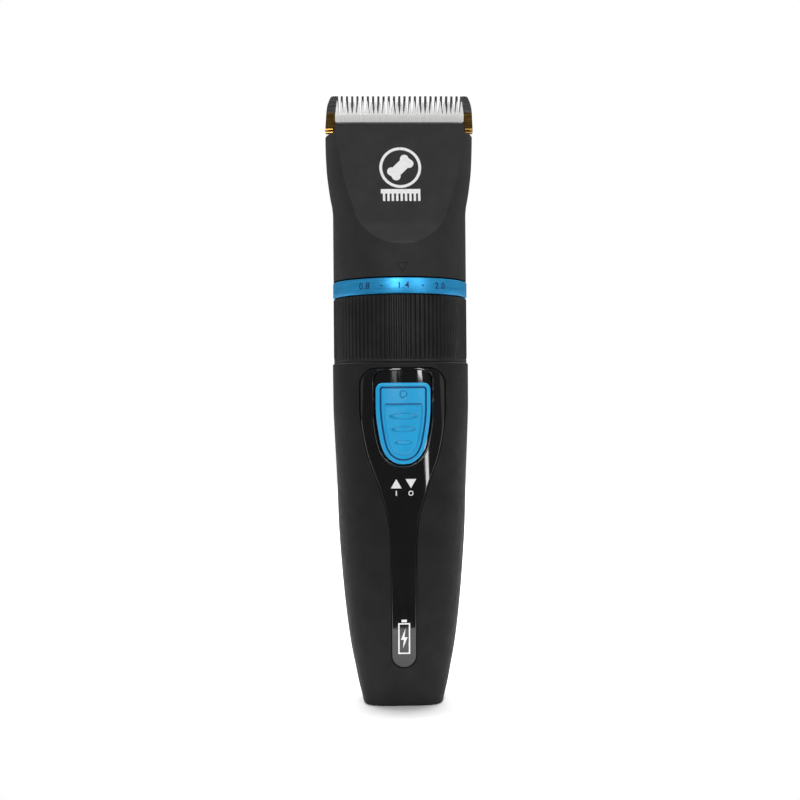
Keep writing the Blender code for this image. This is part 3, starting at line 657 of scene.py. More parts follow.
SLOT_SKINS = {
    "shell_plastic": SHELL,
    "head_plastic": moulded("head_plastic", (0.0250, 0.0250, 0.0255), (0.0310, 0.0310, 0.0315), 0.58, 0.13),
    "ring_plastic": moulded("ring_plastic", (0.015, 0.015, 0.0155), (0.024, 0.024, 0.0245), 0.48, 0.2),
    "gloss_black": GLOSS,
    "switch_blue": switch_blue(),
    "band_blue": band_blue(),
    "ceramic_white": ceramic_white(),
    "titanium_gold": blade_steel(),
    "steel": bright_steel("bright_steel", (0.50, 0.50, 0.51)),
    "inner_plastic": moulded("inner_plastic", (0.030, 0.030, 0.032), (0.045, 0.045, 0.048), 0.45),
    "white_plastic": moulded("acetal", (0.60, 0.60, 0.57), (0.70, 0.70, 0.68), 0.42),
    "board_green": circuit_green(),
    "battery_wrap": moulded("battery_wrap", (0.012, 0.075, 0.250), (0.020, 0.110, 0.330), 0.32),
    "copper": bright_steel("copper_winding", (0.72, 0.33, 0.14)),
    "magnet": moulded("dark_mould", (0.040, 0.037, 0.037), (0.065, 0.060, 0.060), 0.55),
    "led_clear": clear_red(),
    "wire_red": moulded("red_insulation", (0.40, 0.015, 0.015), (0.52, 0.025, 0.022), 0.40),
}
SLOT_OF = {row["node"]: row["material_slot"] for row in frame["record"]["subparts"]}
BODY_OF = {
    node: body
    for body, nodes in frame["record"]["behaviour"]["bodies"].items()
    for node in nodes
}


def dress(obj, skin, body):
    obj.data.materials.clear()
    obj.data.materials.append(skin)
    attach(obj, body)
    return obj


def stand_for(obj, node):
    """The finished mesh of one CAD node, on the same body with the same finish."""
    slot = SLOT_OF[node]
    dress(obj, SLOT_SKINS[slot], BODY_OF[node])
    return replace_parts(obj, node)


# Handle ------------------------------------

# Half spacing and height of each pair of housing screws, its heads' depth and its tips' reach.
SCREW_PAIRS = (((7.6, 9.0), 6.2, 5.0), ((14.0, 88.0), 9.0, 7.0))
SCREW_HEAD, SCREW_HOLE, SCREW_WELL, SCREW_BOSS = 2.0, 1.3, 2.4, 3.3
SOCKET_HOLE = 3.5
PANEL_GAP, PANEL_SEAT = 0.12, 1.2
PANEL_TOP = 96.8
PANEL_HALF_WIDTH = 12.05
PANEL_CORNER = 4.8
TAIL_TOP, TAIL_END = 47.0, 15.0
TAIL_HALF_WIDTH, TAIL_RADIUS = 3.6, 3.5
BUTTON_TOP, BUTTON_FOOT = 92.6, 70.0
BUTTON_HALF_WIDTH = 7.65
BUTTON_CORNER = 2.0
BUTTON_RISE = 1.79
BUTTON_EDGE = 0.55
GROOVE_IN = 1.28
DISH_TOP = 86.6
# Height, half width and half height of each finger ridge on the button.
RIDGES = ((83.4, 3.6, 0.78), (79.8, 3.1, 0.72), (76.1, 2.25, 0.60))
BUTTON_RING_AT, BUTTON_RING_RADIUS = 89.35, 0.95
POCKET_TRAVEL = 2.9
POCKET_GAP = 0.75
POCKET_DEPTH = 0.62
LEVER_SLOT = ((-2.0, -25, 76.5), (2.0, -12, 86.5))


def panel_outline():
    """The gloss panel: wide round the button, then a waist and a narrow tail with a round end."""
    corner_at = (PANEL_HALF_WIDTH - PANEL_CORNER, PANEL_TOP - PANEL_CORNER)
    corner = arc(corner_at, PANEL_CORNER, 90, 0, 12)
    knots = [(TAIL_TOP, TAIL_HALF_WIDTH), (52.0, 3.9), (56.6, 4.8), (60.5, 5.95), (64.0, 7.0)]
    knots += [(67.8, 8.4), (71.9, 9.9), (76.2, 10.9), (80.3, 11.6)]
    knots += [(height, PANEL_HALF_WIDTH) for height in (85.0, 92.0)]
    heights = np.linspace(91.0, TAIL_TOP, 45)
    widths = smooth_curve([z for z, _ in knots], [x for _, x in knots], heights)
    fine = [(float(x), float(z)) for x, z in zip(widths, heights)]
    narrowing, length, steps = TAIL_HALF_WIDTH - TAIL_RADIUS, TAIL_TOP - TAIL_END, 8
    tail = [
        (TAIL_HALF_WIDTH - narrowing * i / steps, TAIL_TOP - length * i / steps)
        for i in range(1, steps)
    ]
    end = arc((0, TAIL_END), TAIL_RADIUS, 0, -90, 14)
    return mirrored([(0, PANEL_TOP), *corner, *fine, *tail, *end])


def button_outline():
    corner_at = (BUTTON_HALF_WIDTH - BUTTON_CORNER, BUTTON_TOP - BUTTON_CORNER)
    corner = arc(corner_at, BUTTON_CORNER, 90, 0, 10)
    side = [(BUTTON_HALF_WIDTH, 88.0), (BUTTON_HALF_WIDTH, 84.5), (7.3, 81.0), (6.8, 77.8), (6.1, 74.5)]
    foot = [(4.9, 72.2), (3.4, 70.9), (1.8, 70.15), (0, BUTTON_FOOT)]
    return mirrored([(0, BUTTON_TOP), *corner, *smoothed(side + foot)])


def button_dish():
    """The sunken field under the finger, from its straight top to its round foot."""
    half_width, corner = 5.4, 0.5
    top = arc((half_width - corner, DISH_TOP - corner), corner, 90, 0, 5)
    side = [(half_width, 84.0), (5.1, 81.0), (4.65, 78.0), (4.0, 75.4), (2.9, 73.6), (1.4, 72.8), (0, 72.7)]
    return mirrored([(0, DISH_TOP), *top, *smoothed(side)])


def pocket_outline():
    """The sunken track that the button slides in, with its travel above the button."""
    shoulder = 84
    raised = [(x, z + POCKET_TRAVEL if z > shoulder else z) for x, z in button_outline()]
    return grown(raised, POCKET_GAP)


def shell_half(name, side):
    """Half of the handle's housing, in front of the parting line (-1) or behind it (1)."""
    shell = fine_loft(name, HANDLE_STATIONS, rows=100, edge=SHELL_EDGE)
    inside = fine_loft("inside", HANDLE_STATIONS, -SHELL_WALL, SHELL_WALL, 97.2, 60, 96)
    mouth = rod("mouth", 16.6, 96, 100, sides=96)
    hole = rod("hole", SOCKET_HOLE, -1, 4, sides=48)
    depths = sorted((0, -side * BEYOND))
    other = block("other", (-BEYOND, depths[0], -10), (BEYOND, depths[1], 120))
    other.location.y = side * PARTING * MM
    cut(shell, inside, mouth, hole)
    if side > 0:
        screw_bosses(shell)
    bpy.context.view_layer.update()
    return cut(shell, other)


def screw_bosses(shell):
    """Four bosses inside the rear half, each with a hole and a well for its screw."""
    within = fine_loft("within", HANDLE_STATIONS, -1.0, rows=60, sides=96)
    for (x, z), _, _ in SCREW_PAIRS:
        for sign in (-1, 1):
            boss = rod("boss", SCREW_BOSS, -20, 0, FRONT, (sign * x, z), 32)
            limit = within.copy()
            limit.data = within.data.copy()
            bpy.context.scene.collection.objects.link(limit)
            join(shell, keep(boss, limit))
    bpy.data.objects.remove(within)
    for (x, z), head, _ in SCREW_PAIRS:
        for sign in (-1, 1):
            at = (sign * x, z)
            hole = rod("hole", SCREW_HOLE, -BEYOND, 1, FRONT, at, 24)
            well = rod("well", SCREW_WELL, -BEYOND, -head, FRONT, at, 40)
            cut(shell, hole, well)


def front_shell():
    shell = shell_half("front_shell_fine", -1)
    recess = prism("recess", grown(panel_outline(), PANEL_GAP), *THROUGH_FRONT, FRONT)
    cut(recess, fine_loft("floor", HANDLE_STATIONS, -PANEL_SEAT, rows=60, sides=96))
    slot = block("slot", *LEVER_SLOT)
    light = rod("light", 1.3, 12, 20, FRONT, (0, 48.5))
    cut(shell, recess, slot, light)
    return stand_for(shell, "front_shell")


def edge_bead(name, outline, lift, radius, skin):
    """A bead on the handle's front along an outline."""
    points = np.asarray(outline)
    places = on_handle(points[:, 0], points[:, 1], np.full(len(points), lift))
    return dress(bead(name, places, radius), skin, "handle")


def recess_lip():
    """The raised edge of the housing round the panel, which catches a thin line of light."""
    return edge_bead("recess_lip", grown(panel_outline(), 0.34), -0.10, 0.22, SHELL)


def pocket_rim():
    """The polished bead round the button's track."""
    return edge_bead("pocket_rim", grown(pocket_outline(), 0.02), -0.06, 0.24, GLOSS)


def switch_panel():
    outline, pocket = panel_outline(), pocket_outline()
    edge, proud = 0.35, 0.02

    def lift(x, z):
        face = rounded_edge(outline_distance(x, z, outline), edge)
        sunk = outline_distance(x, z, pocket)
        return face + proud - POCKET_DEPTH * ease(sunk / edge + 0.5)

    foot = TAIL_END - TAIL_RADIUS
    heights = np.concatenate([spaced(foot, 66.0, 110, 0.5), spaced(66.2, PANEL_TOP, 250, 0.35)])
    panel = relief("switch_panel_fine", outline, heights, 171, lift, -1.0)
    return stand_for(cut(panel, block("slot", *LEVER_SLOT)), "switch_panel")


def switch_button():
    outline, dish = button_outline(), button_dish()
    groove_depth, dish_depth, ridge_height, ring_depth = 0.25, 0.30, 0.26, 0.12
    top_line, top_line_half = DISH_TOP + 0.15, 5.3

    def reach(ridge, x, z):
        """1 on the outline of a ridge, less inside it."""
        height, half_width, half_height = ridge
        return np.hypot(x / half_width, (z - height) / half_height)

    def from_ring(x, z):
        return np.hypot(x, z - BUTTON_RING_AT) - BUTTON_RING_RADIUS

    def lift(x, z):
        inside = outline_distance(x, z, outline)
        face = BUTTON_RISE + rounded_edge(inside, BUTTON_EDGE)
        face -= groove_depth * line(inside - GROOVE_IN, 0.34, 1)
        face -= dish_depth * ease(outline_distance(x, z, dish) / BUTTON_EDGE)
        for ridge in RIDGES:
            face += ridge_height * ease((1.15 - reach(ridge, x, z)) / 0.45)
        return face - ring_depth * line(from_ring(x, z), 0.28, 1)

    # Where the face turns navy: the groove is darkened partly as inking and partly as painted shade, and the
    # ring as inking. The dish's top line, its sides and the ridges' outlines are darkened as painted shade.
    def ink_and_painted_shade(x, z):
        groove = line(outline_distance(x, z, outline) - GROOVE_IN, 0.30, 1.35)
        ring = line(from_ring(x, z), 0.17) * 0.75
        # Painted shade under the dish's top edge, along its sides and round the ridges.
        top = line(z - top_line, 0.24, 1.3) * ease((top_line_half - np.abs(x)) / 0.4) * 0.92
        sides = line(outline_distance(x, z, dish), 0.24) * 0.34
        ridges = [line(reach(ridge, x, z) - 1.0, 0.19, 1.3) * 0.42 for ridge in RIDGES]
        return np.maximum.reduce([groove, ring, top, sides, *ridges])

    heights = spaced(BUTTON_FOOT, BUTTON_TOP, 210, 0.4)
    button = relief("switch_button_fine", outline, heights, 151, lift, 0.12, ink_and_painted_shade)
    join(button, block("tongue", (-1.6, -19.8, 78.0), (1.6, -17.3, 82.0)))
    return stand_for(button, "switch_button")


def on_panel(name, outline):
    """Printing on the panel, from an outline across and up the handle."""
    proud, sunk = 0.085, -0.05
    layer = fine_loft("layer", HANDLE_STATIONS, proud, 8, 98, 120, 192)
    cut(layer, fine_loft("under", HANDLE_STATIONS, sunk, 7, 98.4, 120, 192))
    mark = keep(prism(name, outline, *THROUGH_FRONT, FRONT), layer)
    return dress(mark, WHITE_INK, "handle")


def ring_outline(centre, radius, width, sides=40):
    """A flat ring as one outline, split at its top by a hair."""
    outer = arc(centre, radius, 90, -269.2, sides)
    inner = arc(centre, radius - width, -269.2, 90, sides)
    return outer + inner


def box_outline(left, low, right, high):
    return [(left, low), (right, low), (right, high), (left, high)]


def panel_marks():
    """Arrows over a bar and a circle for on and off, and a battery with a bolt in it."""
    low, high, half, apart = 63.1, 65.7, 1.5, 2.05
    on_panel("mark_up", [(-apart - half, low), (-apart, high), (-apart + half, low)])
    on_panel("mark_down", [(apart - half, high), (apart + half, high), (apart, low)])
    on_panel("mark_on", box_outline(-2.22, 61.0, -1.88, 62.4))
    on_panel("mark_off", ring_outline((apart, 61.7), 0.72, 0.26))
    half, foot, top, line_width, hair = 1.7, 15.6, 24.6, 0.4, 0.04
    outer = [(-hair, top), (-half, top), (-half, foot), (half, foot), (half, top), (hair, top)]
    half, foot, top = half - line_width, foot + line_width, top - line_width
    inner = [(hair, top), (half, top), (half, foot), (-half, foot), (-half, top), (-hair, top)]
    on_panel("mark_battery", outer + inner)
    on_panel("mark_battery_cap", box_outline(-0.75, 24.85, 0.75, 25.6))
    bolt = [(0.35, 23.0), (-0.95, 19.75), (-0.1, 19.75), (-0.35, 17.2), (0.95, 20.5), (0.1, 20.5)]
    on_panel("mark_bolt", bolt)


def rear_shell():
    return stand_for(shell_half("rear_shell_fine", 1), "rear_shell")


def screw(name, top, tip, shaft, matrix, at):
    """A pan head screw with a cross recess, its head outwards along -Z of the matrix."""
    radius, rim, crown = SCREW_HEAD, 0.55, 0.8
    profile = [(0, tip), (shaft, tip + 0.4), (shaft, top), (radius, top), (radius, top - rim)]
    bend = np.linspace(0.15, 1.57, 7)[:-1]
    profile += [(radius * math.cos(a), top - rim - crown * math.sin(a)) for a in bend]
    obj = turned(name, [*profile, (0, top - rim - crown)], 40)
    arm, half_slot = radius * 0.6, 0.22
    for turn in (0, math.pi / 2):
        cross = box_outline(-arm, -half_slot, arm, half_slot)
        quarter = Matrix.Rotation(turn + math.pi / 4, 4, "Z")
        cut(obj, prism("slot", cross, top - 2.0, top - 0.75, quarter))
    return moved(obj, matrix @ Matrix.Translation((at[0], at[1], 0)))


def housing_screws():
    number = 1
    for (x, z), head, tip in SCREW_PAIRS:
        for sign in (-1, 1):
            name = f"housing_screw_{number}"
            piece = screw(name + "_fine", -head - 0.3, tip, 1.0, FRONT, (sign * x, z))
            stand_for(piece, name)
            number += 1


def charge_socket():
    outer, flange, bore = 3.2, 4.0, 1.75
    profile = [(outer, 0.4), (outer, 2.4), (flange, 2.4), (flange, 3.8), (outer, 3.8), (outer, 10.4)]
    profile += [(0, 10.4), (0, 8.5), (bore, 8.5), (bore, 0.9), (bore + 0.4, 0.4)]
    stand_for(turned("charge_socket_fine", profile, 64), "charge_socket")
    tip = [(0, 8.2), (0.5, 8.2), (0.5, 2.5), (0.38, 2.15), (0, 2.0)]
    stand_for(turned("socket_pin_fine", tip, 24), "socket_pin")


# Length ring -------------------------------

RIBS = 90
RIB_CREST, RIB_GROOVE = 19.5, 18.8
RING_FOOT, RING_LAND, RING_TOP = 98.58, 117.2, 121.9
RING_LAND_RADIUS, RING_BORE, RING_SEAT, SEAT_TOP = 18.2, 16.5, 17.7, 110.3
BAND_RADIUS = 19.6
BAND_FOOT, BAND_TOP = 117.5, 121.9
# The numbers of the scale and the dots between them, with their places in degrees round the band.
SCALE_NUMBERS = (("0.8", -32.6), ("1.4", 0.8), ("2.0", 33.2))
SCALE_DOTS = (-17.2, 17.2)
SCALE_HEIGHT = 119.7
PRINT_THICKNESS = 0.05


def ring_grip():
    """The ribbed ring. Each row has a height, a radius and the share of the ribs' depth there."""
    per_rib, flank_at, flank = 8, 0.16, 0.17
    sides = RIBS * per_rib
    angle = np.arange(sides) * 2 * math.pi / sides
    phase = (np.arange(sides) % per_rib) / per_rib
    rib = 1 - ease((np.abs(phase - 0.5) - flank_at) / flank)
    rows = [(RING_FOOT, 19.3, 0), (98.62, 19.42, 0), (99.2, 19.44, 0)]
    rows += [(99.55, RIB_GROOVE, 0.8), (99.8, RIB_GROOVE, 0.9)]
    rows += [(z, RIB_GROOVE, 1.0) for z in (*np.linspace(100.5, 116.3, 5), 116.8)]
    rows += [(117.1, RIB_GROOVE, 0.9), (RING_LAND, 18.9, 0)]
    rows += [(RING_LAND, RING_LAND_RADIUS, 0), (121.7, RING_LAND_RADIUS, 0)]
    rows += [(RING_TOP, RING_LAND_RADIUS - 0.2, 0), (RING_TOP, RING_BORE, 0)]
    rows += [(SEAT_TOP, RING_BORE, 0), (SEAT_TOP, RING_SEAT, 0), (RING_FOOT, RING_SEAT, 0)]
    rings = []
    for height, base, share in rows:
        radius = base + (RIB_CREST - RIB_GROOVE) * rib * share
        rings.append([(r * math.cos(a), r * math.sin(a), height) for r, a in zip(radius, angle)])
    return stand_for(loft("ring_grip_fine", rings, sharp=40, joined=True), "ring_grip")


def scale_band():
    near, far = 0.07, 0.25
    edge = [(BAND_RADIUS - far, 0), (BAND_RADIUS - near, near), (BAND_RADIUS, far)]
    profile = [(radius, BAND_TOP - inset) for radius, inset in edge]
    profile += [(radius, BAND_FOOT + inset) for radius, inset in reversed(edge)]
    profile += [(18.5, BAND_FOOT), (18.5, BAND_TOP)]
    stand_for(turned("scale_band_fine", profile, 256, sharp=40), "scale_band")
    for text, turn in SCALE_NUMBERS:
        wrap(text_mesh("scale_" + text.replace(".", "_"), text, 2.55), turn, SCALE_HEIGHT)
    for number, turn in enumerate(SCALE_DOTS):
        dot = prism(f"scale_dot_{number}", circle(0.26, 20), 0, PRINT_THICKNESS)
        wrap(dot, turn, SCALE_HEIGHT + 0.05)


def wrap(obj, turn, height):
    """Bends a flat mark drawn in XY onto the band, and dresses it."""
    sunk = 0.02
    for vertex in obj.data.vertices:
        x, y, z = vertex.co / MM
        angle = math.radians(turn) + x / BAND_RADIUS
        out = BAND_RADIUS - sunk + z
        vertex.co = Vector((out * math.sin(angle), -out * math.cos(angle), height + y)) * MM
    return dress(obj, NAVY_INK, "length_ring")


def text_mesh(name, text, size):
    curve = bpy.data.curves.new(name, "FONT")
    curve.body = text
    curve.size = size * MM
    curve.align_x = "CENTER"
    curve.align_y = "CENTER"
    curve.space_character = 1.15
    curve.extrude = PRINT_THICKNESS * MM / 2
    curve.offset = 0.03 * MM
    mesh = curve_mesh(name, curve, triangles=True)
    mesh.transform(Matrix.Translation((0, 0, PRINT_THICKNESS * MM / 2)))
    return new_object(name, mesh)


# Head --------------------------------------

NECK_FOOT, NECK_RADIUS, FLANGE_RADIUS = 94.6, 16.2, 17.3
CHIN_FOOT, CHIN_TOP = 124.8, 143.6
MARK_CENTRE = (0.0, 153.9)


def scoop_line(offset=0.0):
    """The scooped front as many points of depth and height."""
    low, high = SCOOP[0][1], SCOOP[-1][1]
    heights = np.concatenate([np.linspace(low, 148.0, 44), np.linspace(149.0, high, 14)])
    depths = smooth_curve([z for _, z in SCOOP], [y for y, _ in SCOOP], heights)
    return [(float(y) + offset, float(z)) for y, z in zip(depths, heights)]


def across(name, profile, half_width=BEYOND):
    """A prism through the head from side to side, from a profile of depth and height."""
    return prism(name, profile, -half_width, half_width, SIDE)


def behind_blade(height, offset):
    drop = (BLADE_ORIGIN.z - height) * math.tan(BLADE_LEAN)
    return BLADE_ORIGIN.y + drop + offset / math.cos(BLADE_LEAN)


def chin_line():
    """The back of the head: a soft S from the round neck to the lip under the blade unit."""
    heights = np.linspace(CHIN_FOOT, CHIN_TOP, 20)
    t = (heights - CHIN_FOOT) / (CHIN_TOP - CHIN_FOOT)
    depths = 25.0 - 17.0 * t + 0.9 * np.sin(math.pi * np.clip(t, 0, 1)) * (1 - t)
    return [(float(y), float(z)) for y, z in zip(depths, heights)]


def sided(sign, near, far):
    """The two places across the part on one side, lower first."""
    return sorted((sign * near, sign * far))


def head_housing():
    scoop_foot, top = SCOOP[0][1], SCOOP[-1][1]
    wall, bore, mouth_back, shoulder_at = 1.8, 14.2, -8.4, 19.0
    housing = fine_loft("head_housing_fine", HEAD_STATIONS, rows=90, sides=224)
    neck = rod("neck", NECK_RADIUS, NECK_FOOT, 124.0, sides=96)
    flange = rod("flange", FLANGE_RADIUS, NECK_FOOT, 96.9, sides=96)
    join(housing, neck, flange)
    inside = fine_loft("inside", HEAD_STATIONS, -wall, 125.5, 167.0, 50, 112)
    lining = [p for p in scoop_line(SCOOP_WALL) if p[1] > 131.3]
    room = [(-25, 124), (21.2, 124), (21.2, 126.0), (6.4, 142.2), (6.4, CHIN_TOP), (25, CHIN_TOP), (25, top)]
    keep(inside, across("room", [*room, *reversed(lining), (-25, 131.2)]))
    cut(housing, rod("bore", bore, 90, 126, sides=96), inside)
    cut(housing, across("scoop", [*scoop_line(), (-BEYOND, top), (-BEYOND, scoop_foot)]))
    back = [*chin_line(), (behind_blade(170, 2.2), 170), (BEYOND, 170), (BEYOND, CHIN_FOOT)]
    cut(housing, across("back", back))
    cut(housing, block("mouth", (-BEYOND, mouth_back, HEAD_SHOULDER), (BEYOND, 10, top)))
    for sign in (-1, 1):
        left, right = sided(sign, shoulder_at, BEYOND)
        cut(housing, block("shoulder", (left, -BEYOND, HEAD_SHOULDER), (right, BEYOND, 170)))
        cut(housing, prism("wing_room", [(sign * a, b) for a, b in WING_ROOM], WING_ROOM_FOOT, 170))
        left, right = sided(sign, 13.0, 17.0)
        cut(housing, block("slot", (left, -1.8, 102.6), (right, 1.8, 107.4)))
    cut(housing, block("pocket", (-2.8, 15.1, 104.0), (2.8, 18.0, 113.0)))
    cut(housing, index_arrow())
    return stand_for(housing, "head_housing")


def index_arrow():
    """The engraved pointer over the scale, as a fine triangular groove."""
    half, top, tip, groove = 1.45, 126.05, 123.45, 0.13
    corners = [(-half, top), (half, top), (0.0, tip)]
    points = []
    for (ax, az), (bx, bz) in zip(corners, corners[1:] + corners[:1]):
        for t in np.linspace(0, 1, 10, endpoint=False):
            x, z = ax + (bx - ax) * t, az + (bz - az) * t
            points.append((x, -math.sqrt(HEAD_RADIUS**2 - x * x), z))
    return bead("arrow", points, groove)


def front_mark():
    """A plain bone in a ring over a comb, printed on the scooped front."""
    on_scoop("front_mark_bone", bone_outline())
    on_scoop("front_mark_ring", ring_outline(MARK_CENTRE, 5.95, 0.8, 96))
    on_scoop("front_mark_comb", comb_outline())


def bone_outline():
    """Four lobes, clockwise from the upper right one, turned by an eighth."""
    lobe, half_length, spread = 1.25, 2.6, 0.95
    bone = []
    for x, y, start in ((1, 1, 150), (1, -1, 30), (-1, -1, -30), (-1, 1, -150)):
        bone += arc((x * half_length, y * spread), lobe, start, start - 180, 14)
    c, s = math.cos(math.radians(45)), math.sin(math.radians(45))
    return [(MARK_CENTRE[0] + x * c - y * s, MARK_CENTRE[1] + x * s + y * c) for x, y in bone]


def comb_outline():
    half, top, back, tips, teeth = 5.6, 147.6, 146.3, 144.1, 9
    pitch = 2 * half / teeth
    comb = [(-half, top), (half, top)]
    for i in range(teeth):
        right = half - i * pitch
        left = right - pitch * 0.55
        comb += [(right, tips), (left, tips), (left, back), (right - pitch, back)]
    comb[-1] = (-half, back)
    return comb


def on_scoop(name, outline):
    mark = prism(name, outline, *THROUGH_FRONT, FRONT)
    keep(mark, across("layer", [*scoop_line(-0.05), *reversed(scoop_line(0.08))], 15))
    return dress(mark, WHITE_INK, "handle")


# Blade unit, drawn in the blade frame: Y along the teeth, Z towards the front ----

FIXED_TEETH, FIXED_PITCH = 23, 1.5
FIXED_TIP_AT, FIXED_ROOT_AT, WING_FOOT_AT, FIXED_FOOT_AT = -2.9, -8.1, -13.9, -27.0
FIXED_BACK, FIXED_FACE = -1.8, -0.15
# Low edge, high edge and height of each fold across the wings' feet.
WING_FOLDS = ((-13.6, -13.1, 0.30), (-12.75, -12.2, 0.18))
FOLD_ENDS, FOLD_ROOT = (19.2, 21.3), -0.6
CERAMIC_TEETH, CERAMIC_PITCH = 30, 1.23
CERAMIC_TIP_AT, CERAMIC_ROOT_AT, CERAMIC_FOOT_AT = -4.4, -7.7, -10.3
CERAMIC_BACK, CERAMIC_FACE = 0.15, 2.1
SCREW_X, SCREW_Y = 15.0, -24.0


def tooth_row(teeth, pitch, tip, root, tip_at, root_at):
    """The zigzag of a row of teeth from left to right."""
    points = []
    for i in range(teeth):
        middle = pitch * (i + 0.5 - teeth / 2)
        points += [
            (middle - root / 2, root_at),
            (middle - tip / 2, tip_at),
            (middle + tip / 2, tip_at),
            (middle + root / 2, root_at),
        ]
    return points


def across_blade(name, profile, left=-25, right=25):
    """A prism from side to side of the blade, from a profile of places along it and forwards."""
    return moved(prism(name, profile, left, right), BLADE_SIDE)


def fixed_blade():
    half = FIXED_PITCH * FIXED_TEETH / 2
    teeth = tooth_row(FIXED_TEETH, FIXED_PITCH, 0.56, 0.9, FIXED_TIP_AT, FIXED_ROOT_AT)
    wing = [(half + 0.1, FIXED_ROOT_AT), (half + 0.3, FIXED_TIP_AT), (18.9, FIXED_TIP_AT)]
    wing += [(19.3, -3.0), (19.75, -3.5), (20.2, -4.4), (20.6, -5.5), (20.85, -6.6), (21.0, -7.7)]
    wing += [(21.15, -9.6), (21.37, -12.2), (21.4, -13.3), (21.25, WING_FOOT_AT), (18.6, WING_FOOT_AT)]
    wing += [(17.2, FIXED_FOOT_AT)]
    outline = [(-x, y) for x, y in reversed(wing)] + teeth + wing
    blade = prism("fixed_blade_fine", outline, FIXED_BACK, FIXED_FACE, BLADE_FRAME)
    # The back of the teeth is ground thin towards the tips.
    grind = across_blade("wedge", [(-10.4, -1.85), (-2.3, -1.0), (-2.3, -3.0), (-10.4, -3.0)])
    for x in (-SCREW_X, SCREW_X):
        cut(blade, rod("hole", SCREW_HOLE, -3, 1, BLADE_FRAME, (x, SCREW_Y), 32))
    cut(blade, grind)
    for sign in (-1, 1):
        for low, high, proud in WING_FOLDS:
            side, ridge = proud * 0.4, ((low + high) / 2, proud)
            fold = [(low, FOLD_ROOT), (high, FOLD_ROOT), (high, side), ridge, (low, side)]
            join(blade, across_blade("fold", fold, *sided(sign, *FOLD_ENDS)))
    return stand_for(softened(blade, 0.06), "fixed_blade")


def moving_blade():
    half, corner = CERAMIC_PITCH * CERAMIC_TEETH / 2, 0.8
    teeth = tooth_row(CERAMIC_TEETH, CERAMIC_PITCH, 0.2, 1.15, CERAMIC_TIP_AT, CERAMIC_ROOT_AT)
    turn = arc((half - corner, CERAMIC_FOOT_AT + corner), corner, 0, -90, 8)
    right = [(half, CERAMIC_ROOT_AT), *turn]
    outline = [*teeth, *right, *((-x, y) for x, y in reversed(right))]
    blade = prism("moving_blade_fine", outline, CERAMIC_BACK, CERAMIC_FACE, BLADE_FRAME)
    # The front of the teeth is ground back to a thin edge, and the foot is chamfered.
    grind = [(-8.1, 2.2), (-3.8, 0.75), (-3.8, 4.0), (-8.1, 4.0)]
    chamfer = [(-11.0, 1.15), (-9.75, 2.2), (-9.75, 4.0), (-11.0, 4.0)]
    for profile in (grind, chamfer):
        cut(blade, across_blade("wedge", profile))
    foot = block("foot", (-10.0, -30.0, CERAMIC_BACK), (10.0, CERAMIC_FOOT_AT + 1.0, 1.2), BLADE_FRAME)
    join(blade, foot)
    return stand_for(softened(blade, 0.05), "moving_blade")


def blade_screws():
    for name, x in (("blade_screw_left", -SCREW_X), ("blade_screw_right", SCREW_X)):
        stand_for(screw(name + "_fine", -2.1, 3.0, 0.9, BLADE_FRAME, (x, SCREW_Y)), name)


# What stays from the frame, with its finish ----


def dress_frame():
    for name, obj in frame["nodes"].items():
        obj.data.materials.clear()
        obj.data.materials.append(SLOT_SKINS[SLOT_OF[name]])


# Stage, light and camera -------------------


def stage():
    """A pale table top that ends close in front of the object, so that it isn't mirrored there."""
    half_width, front, back = 0.8, -0.06, 0.9
    bm = bmesh.new()
    xs, ys = np.linspace(-half_width, half_width, 17), np.linspace(front, back, 11)
    grid = [[bm.verts.new((x, y, 0)) for y in ys] for x in xs]
    for left, right in zip(grid, grid[1:]):
        for j in range(len(ys) - 1):
            bm.faces.new((left[j], right[j], right[j + 1], left[j + 1]))
    mesh = bpy.data.meshes.new("studio_floor")
    bm.to_mesh(mesh)
    bm.free()
    floor = new_object("studio_floor", mesh, 60)
    skin = Skin("studio_paper", specular_ior_level=0.05, roughness=0.95)
    skin.colour(skin.mottled(8, 3, (0.88, 0.88, 0.88), (0.90, 0.90, 0.90)))
    floor.data.materials.append(skin.material)


def area_light(name, place, target, size, power):
    lamp = bpy.data.lights.new(name, "AREA")
    lamp.shape = "RECTANGLE"
    lamp.size, lamp.size_y = size
    lamp.energy = power
    obj = bpy.data.objects.new(name, lamp)
    obj.location = place
    aim = Vector(target) - Vector(place)
    obj.rotation_euler = aim.to_track_quat("-Z", "Y").to_euler()
    bpy.context.scene.collection.objects.link(obj)


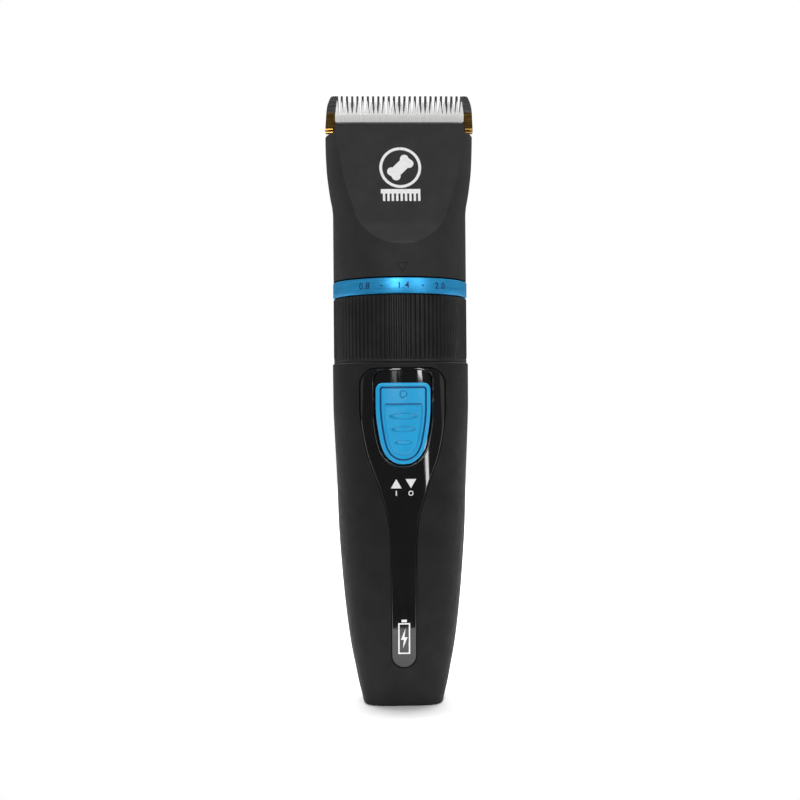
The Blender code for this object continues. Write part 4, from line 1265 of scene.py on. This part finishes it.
def surround():
    """White where the camera sees it, and dim as a light and in reflections."""
    world = bpy.data.worlds.new("studio")
    bpy.context.scene.world = world
    world.use_nodes = True
    tree = world.node_tree
    seen, dim = tree.nodes["Background"], tree.nodes.new("ShaderNodeBackground")
    for background, strength in ((seen, 1.0), (dim, 0.075)):
        background.inputs["Color"].default_value = (1, 1, 1, 1)
        background.inputs["Strength"].default_value = strength
    path = tree.nodes.new("ShaderNodeLightPath")
    mixed = tree.nodes.new("ShaderNodeMixShader")
    tree.links.new(path.outputs["Is Camera Ray"], mixed.inputs[0])
    tree.links.new(dim.outputs[0], mixed.inputs[1])
    tree.links.new(seen.outputs[0], mixed.inputs[2])
    tree.links.new(mixed.outputs[0], tree.nodes["World Output"].inputs["Surface"])


def lights():
    """Upright strips in front, which the gloss panel mirrors, faint side boxes and a large one above."""
    middle = (0, 0, 0.09)
    strip, box = 0.75, (0.22, 0.9)
    area_light("left_strip", (-0.135, -0.887, 0.44), middle, (0.22, strip), 4.9)
    area_light("right_strip", (0.445, -0.783, 0.44), middle, (0.13, strip), 2.6)
    area_light("low_strip", (0.490, -0.755, -0.10), middle, (0.085, 0.12), 0.26)
    for name, x in (("left_box", -0.88), ("right_box", 0.88)):
        area_light(name, (x, -0.30, 0.20), middle, box, 0.18)
    area_light("back_top_box", (0, 0.42, 0.85), (0, 0.2, 0), (1.6, 0.9), 27.0)


def camera():
    """At the photograph's distance and height, a little to the left of the switch's axis."""
    distance, height, shift = 0.350, 0.0878, -0.0002
    turn, roll = math.radians(-2.0), math.radians(-0.47)
    lens = bpy.data.cameras.new("camera")
    lens.sensor_width = 36.0
    lens.lens = 53.5
    lens.clip_start = 0.01
    obj = bpy.data.objects.new("camera", lens)
    obj.location = (distance * math.sin(turn) + shift, -distance * math.cos(turn), height)
    facing = Matrix.Rotation(turn, 4, "Z") @ Matrix.Rotation(math.pi / 2, 4, "X")
    obj.rotation_euler = (facing @ Matrix.Rotation(roll, 4, "Z")).to_euler()
    bpy.context.scene.collection.objects.link(obj)
    bpy.context.scene.camera = obj


camera()
stage()
surround()
lights()
dress_frame()
front_shell()
recess_lip()
rear_shell()
switch_panel()
pocket_rim()
switch_button()
panel_marks()
housing_screws()
charge_socket()
ring_grip()
scale_band()
head_housing()
front_mark()
fixed_blade()
moving_blade()
blade_screws()

bpy.context.scene.view_settings.view_transform = "Standard"
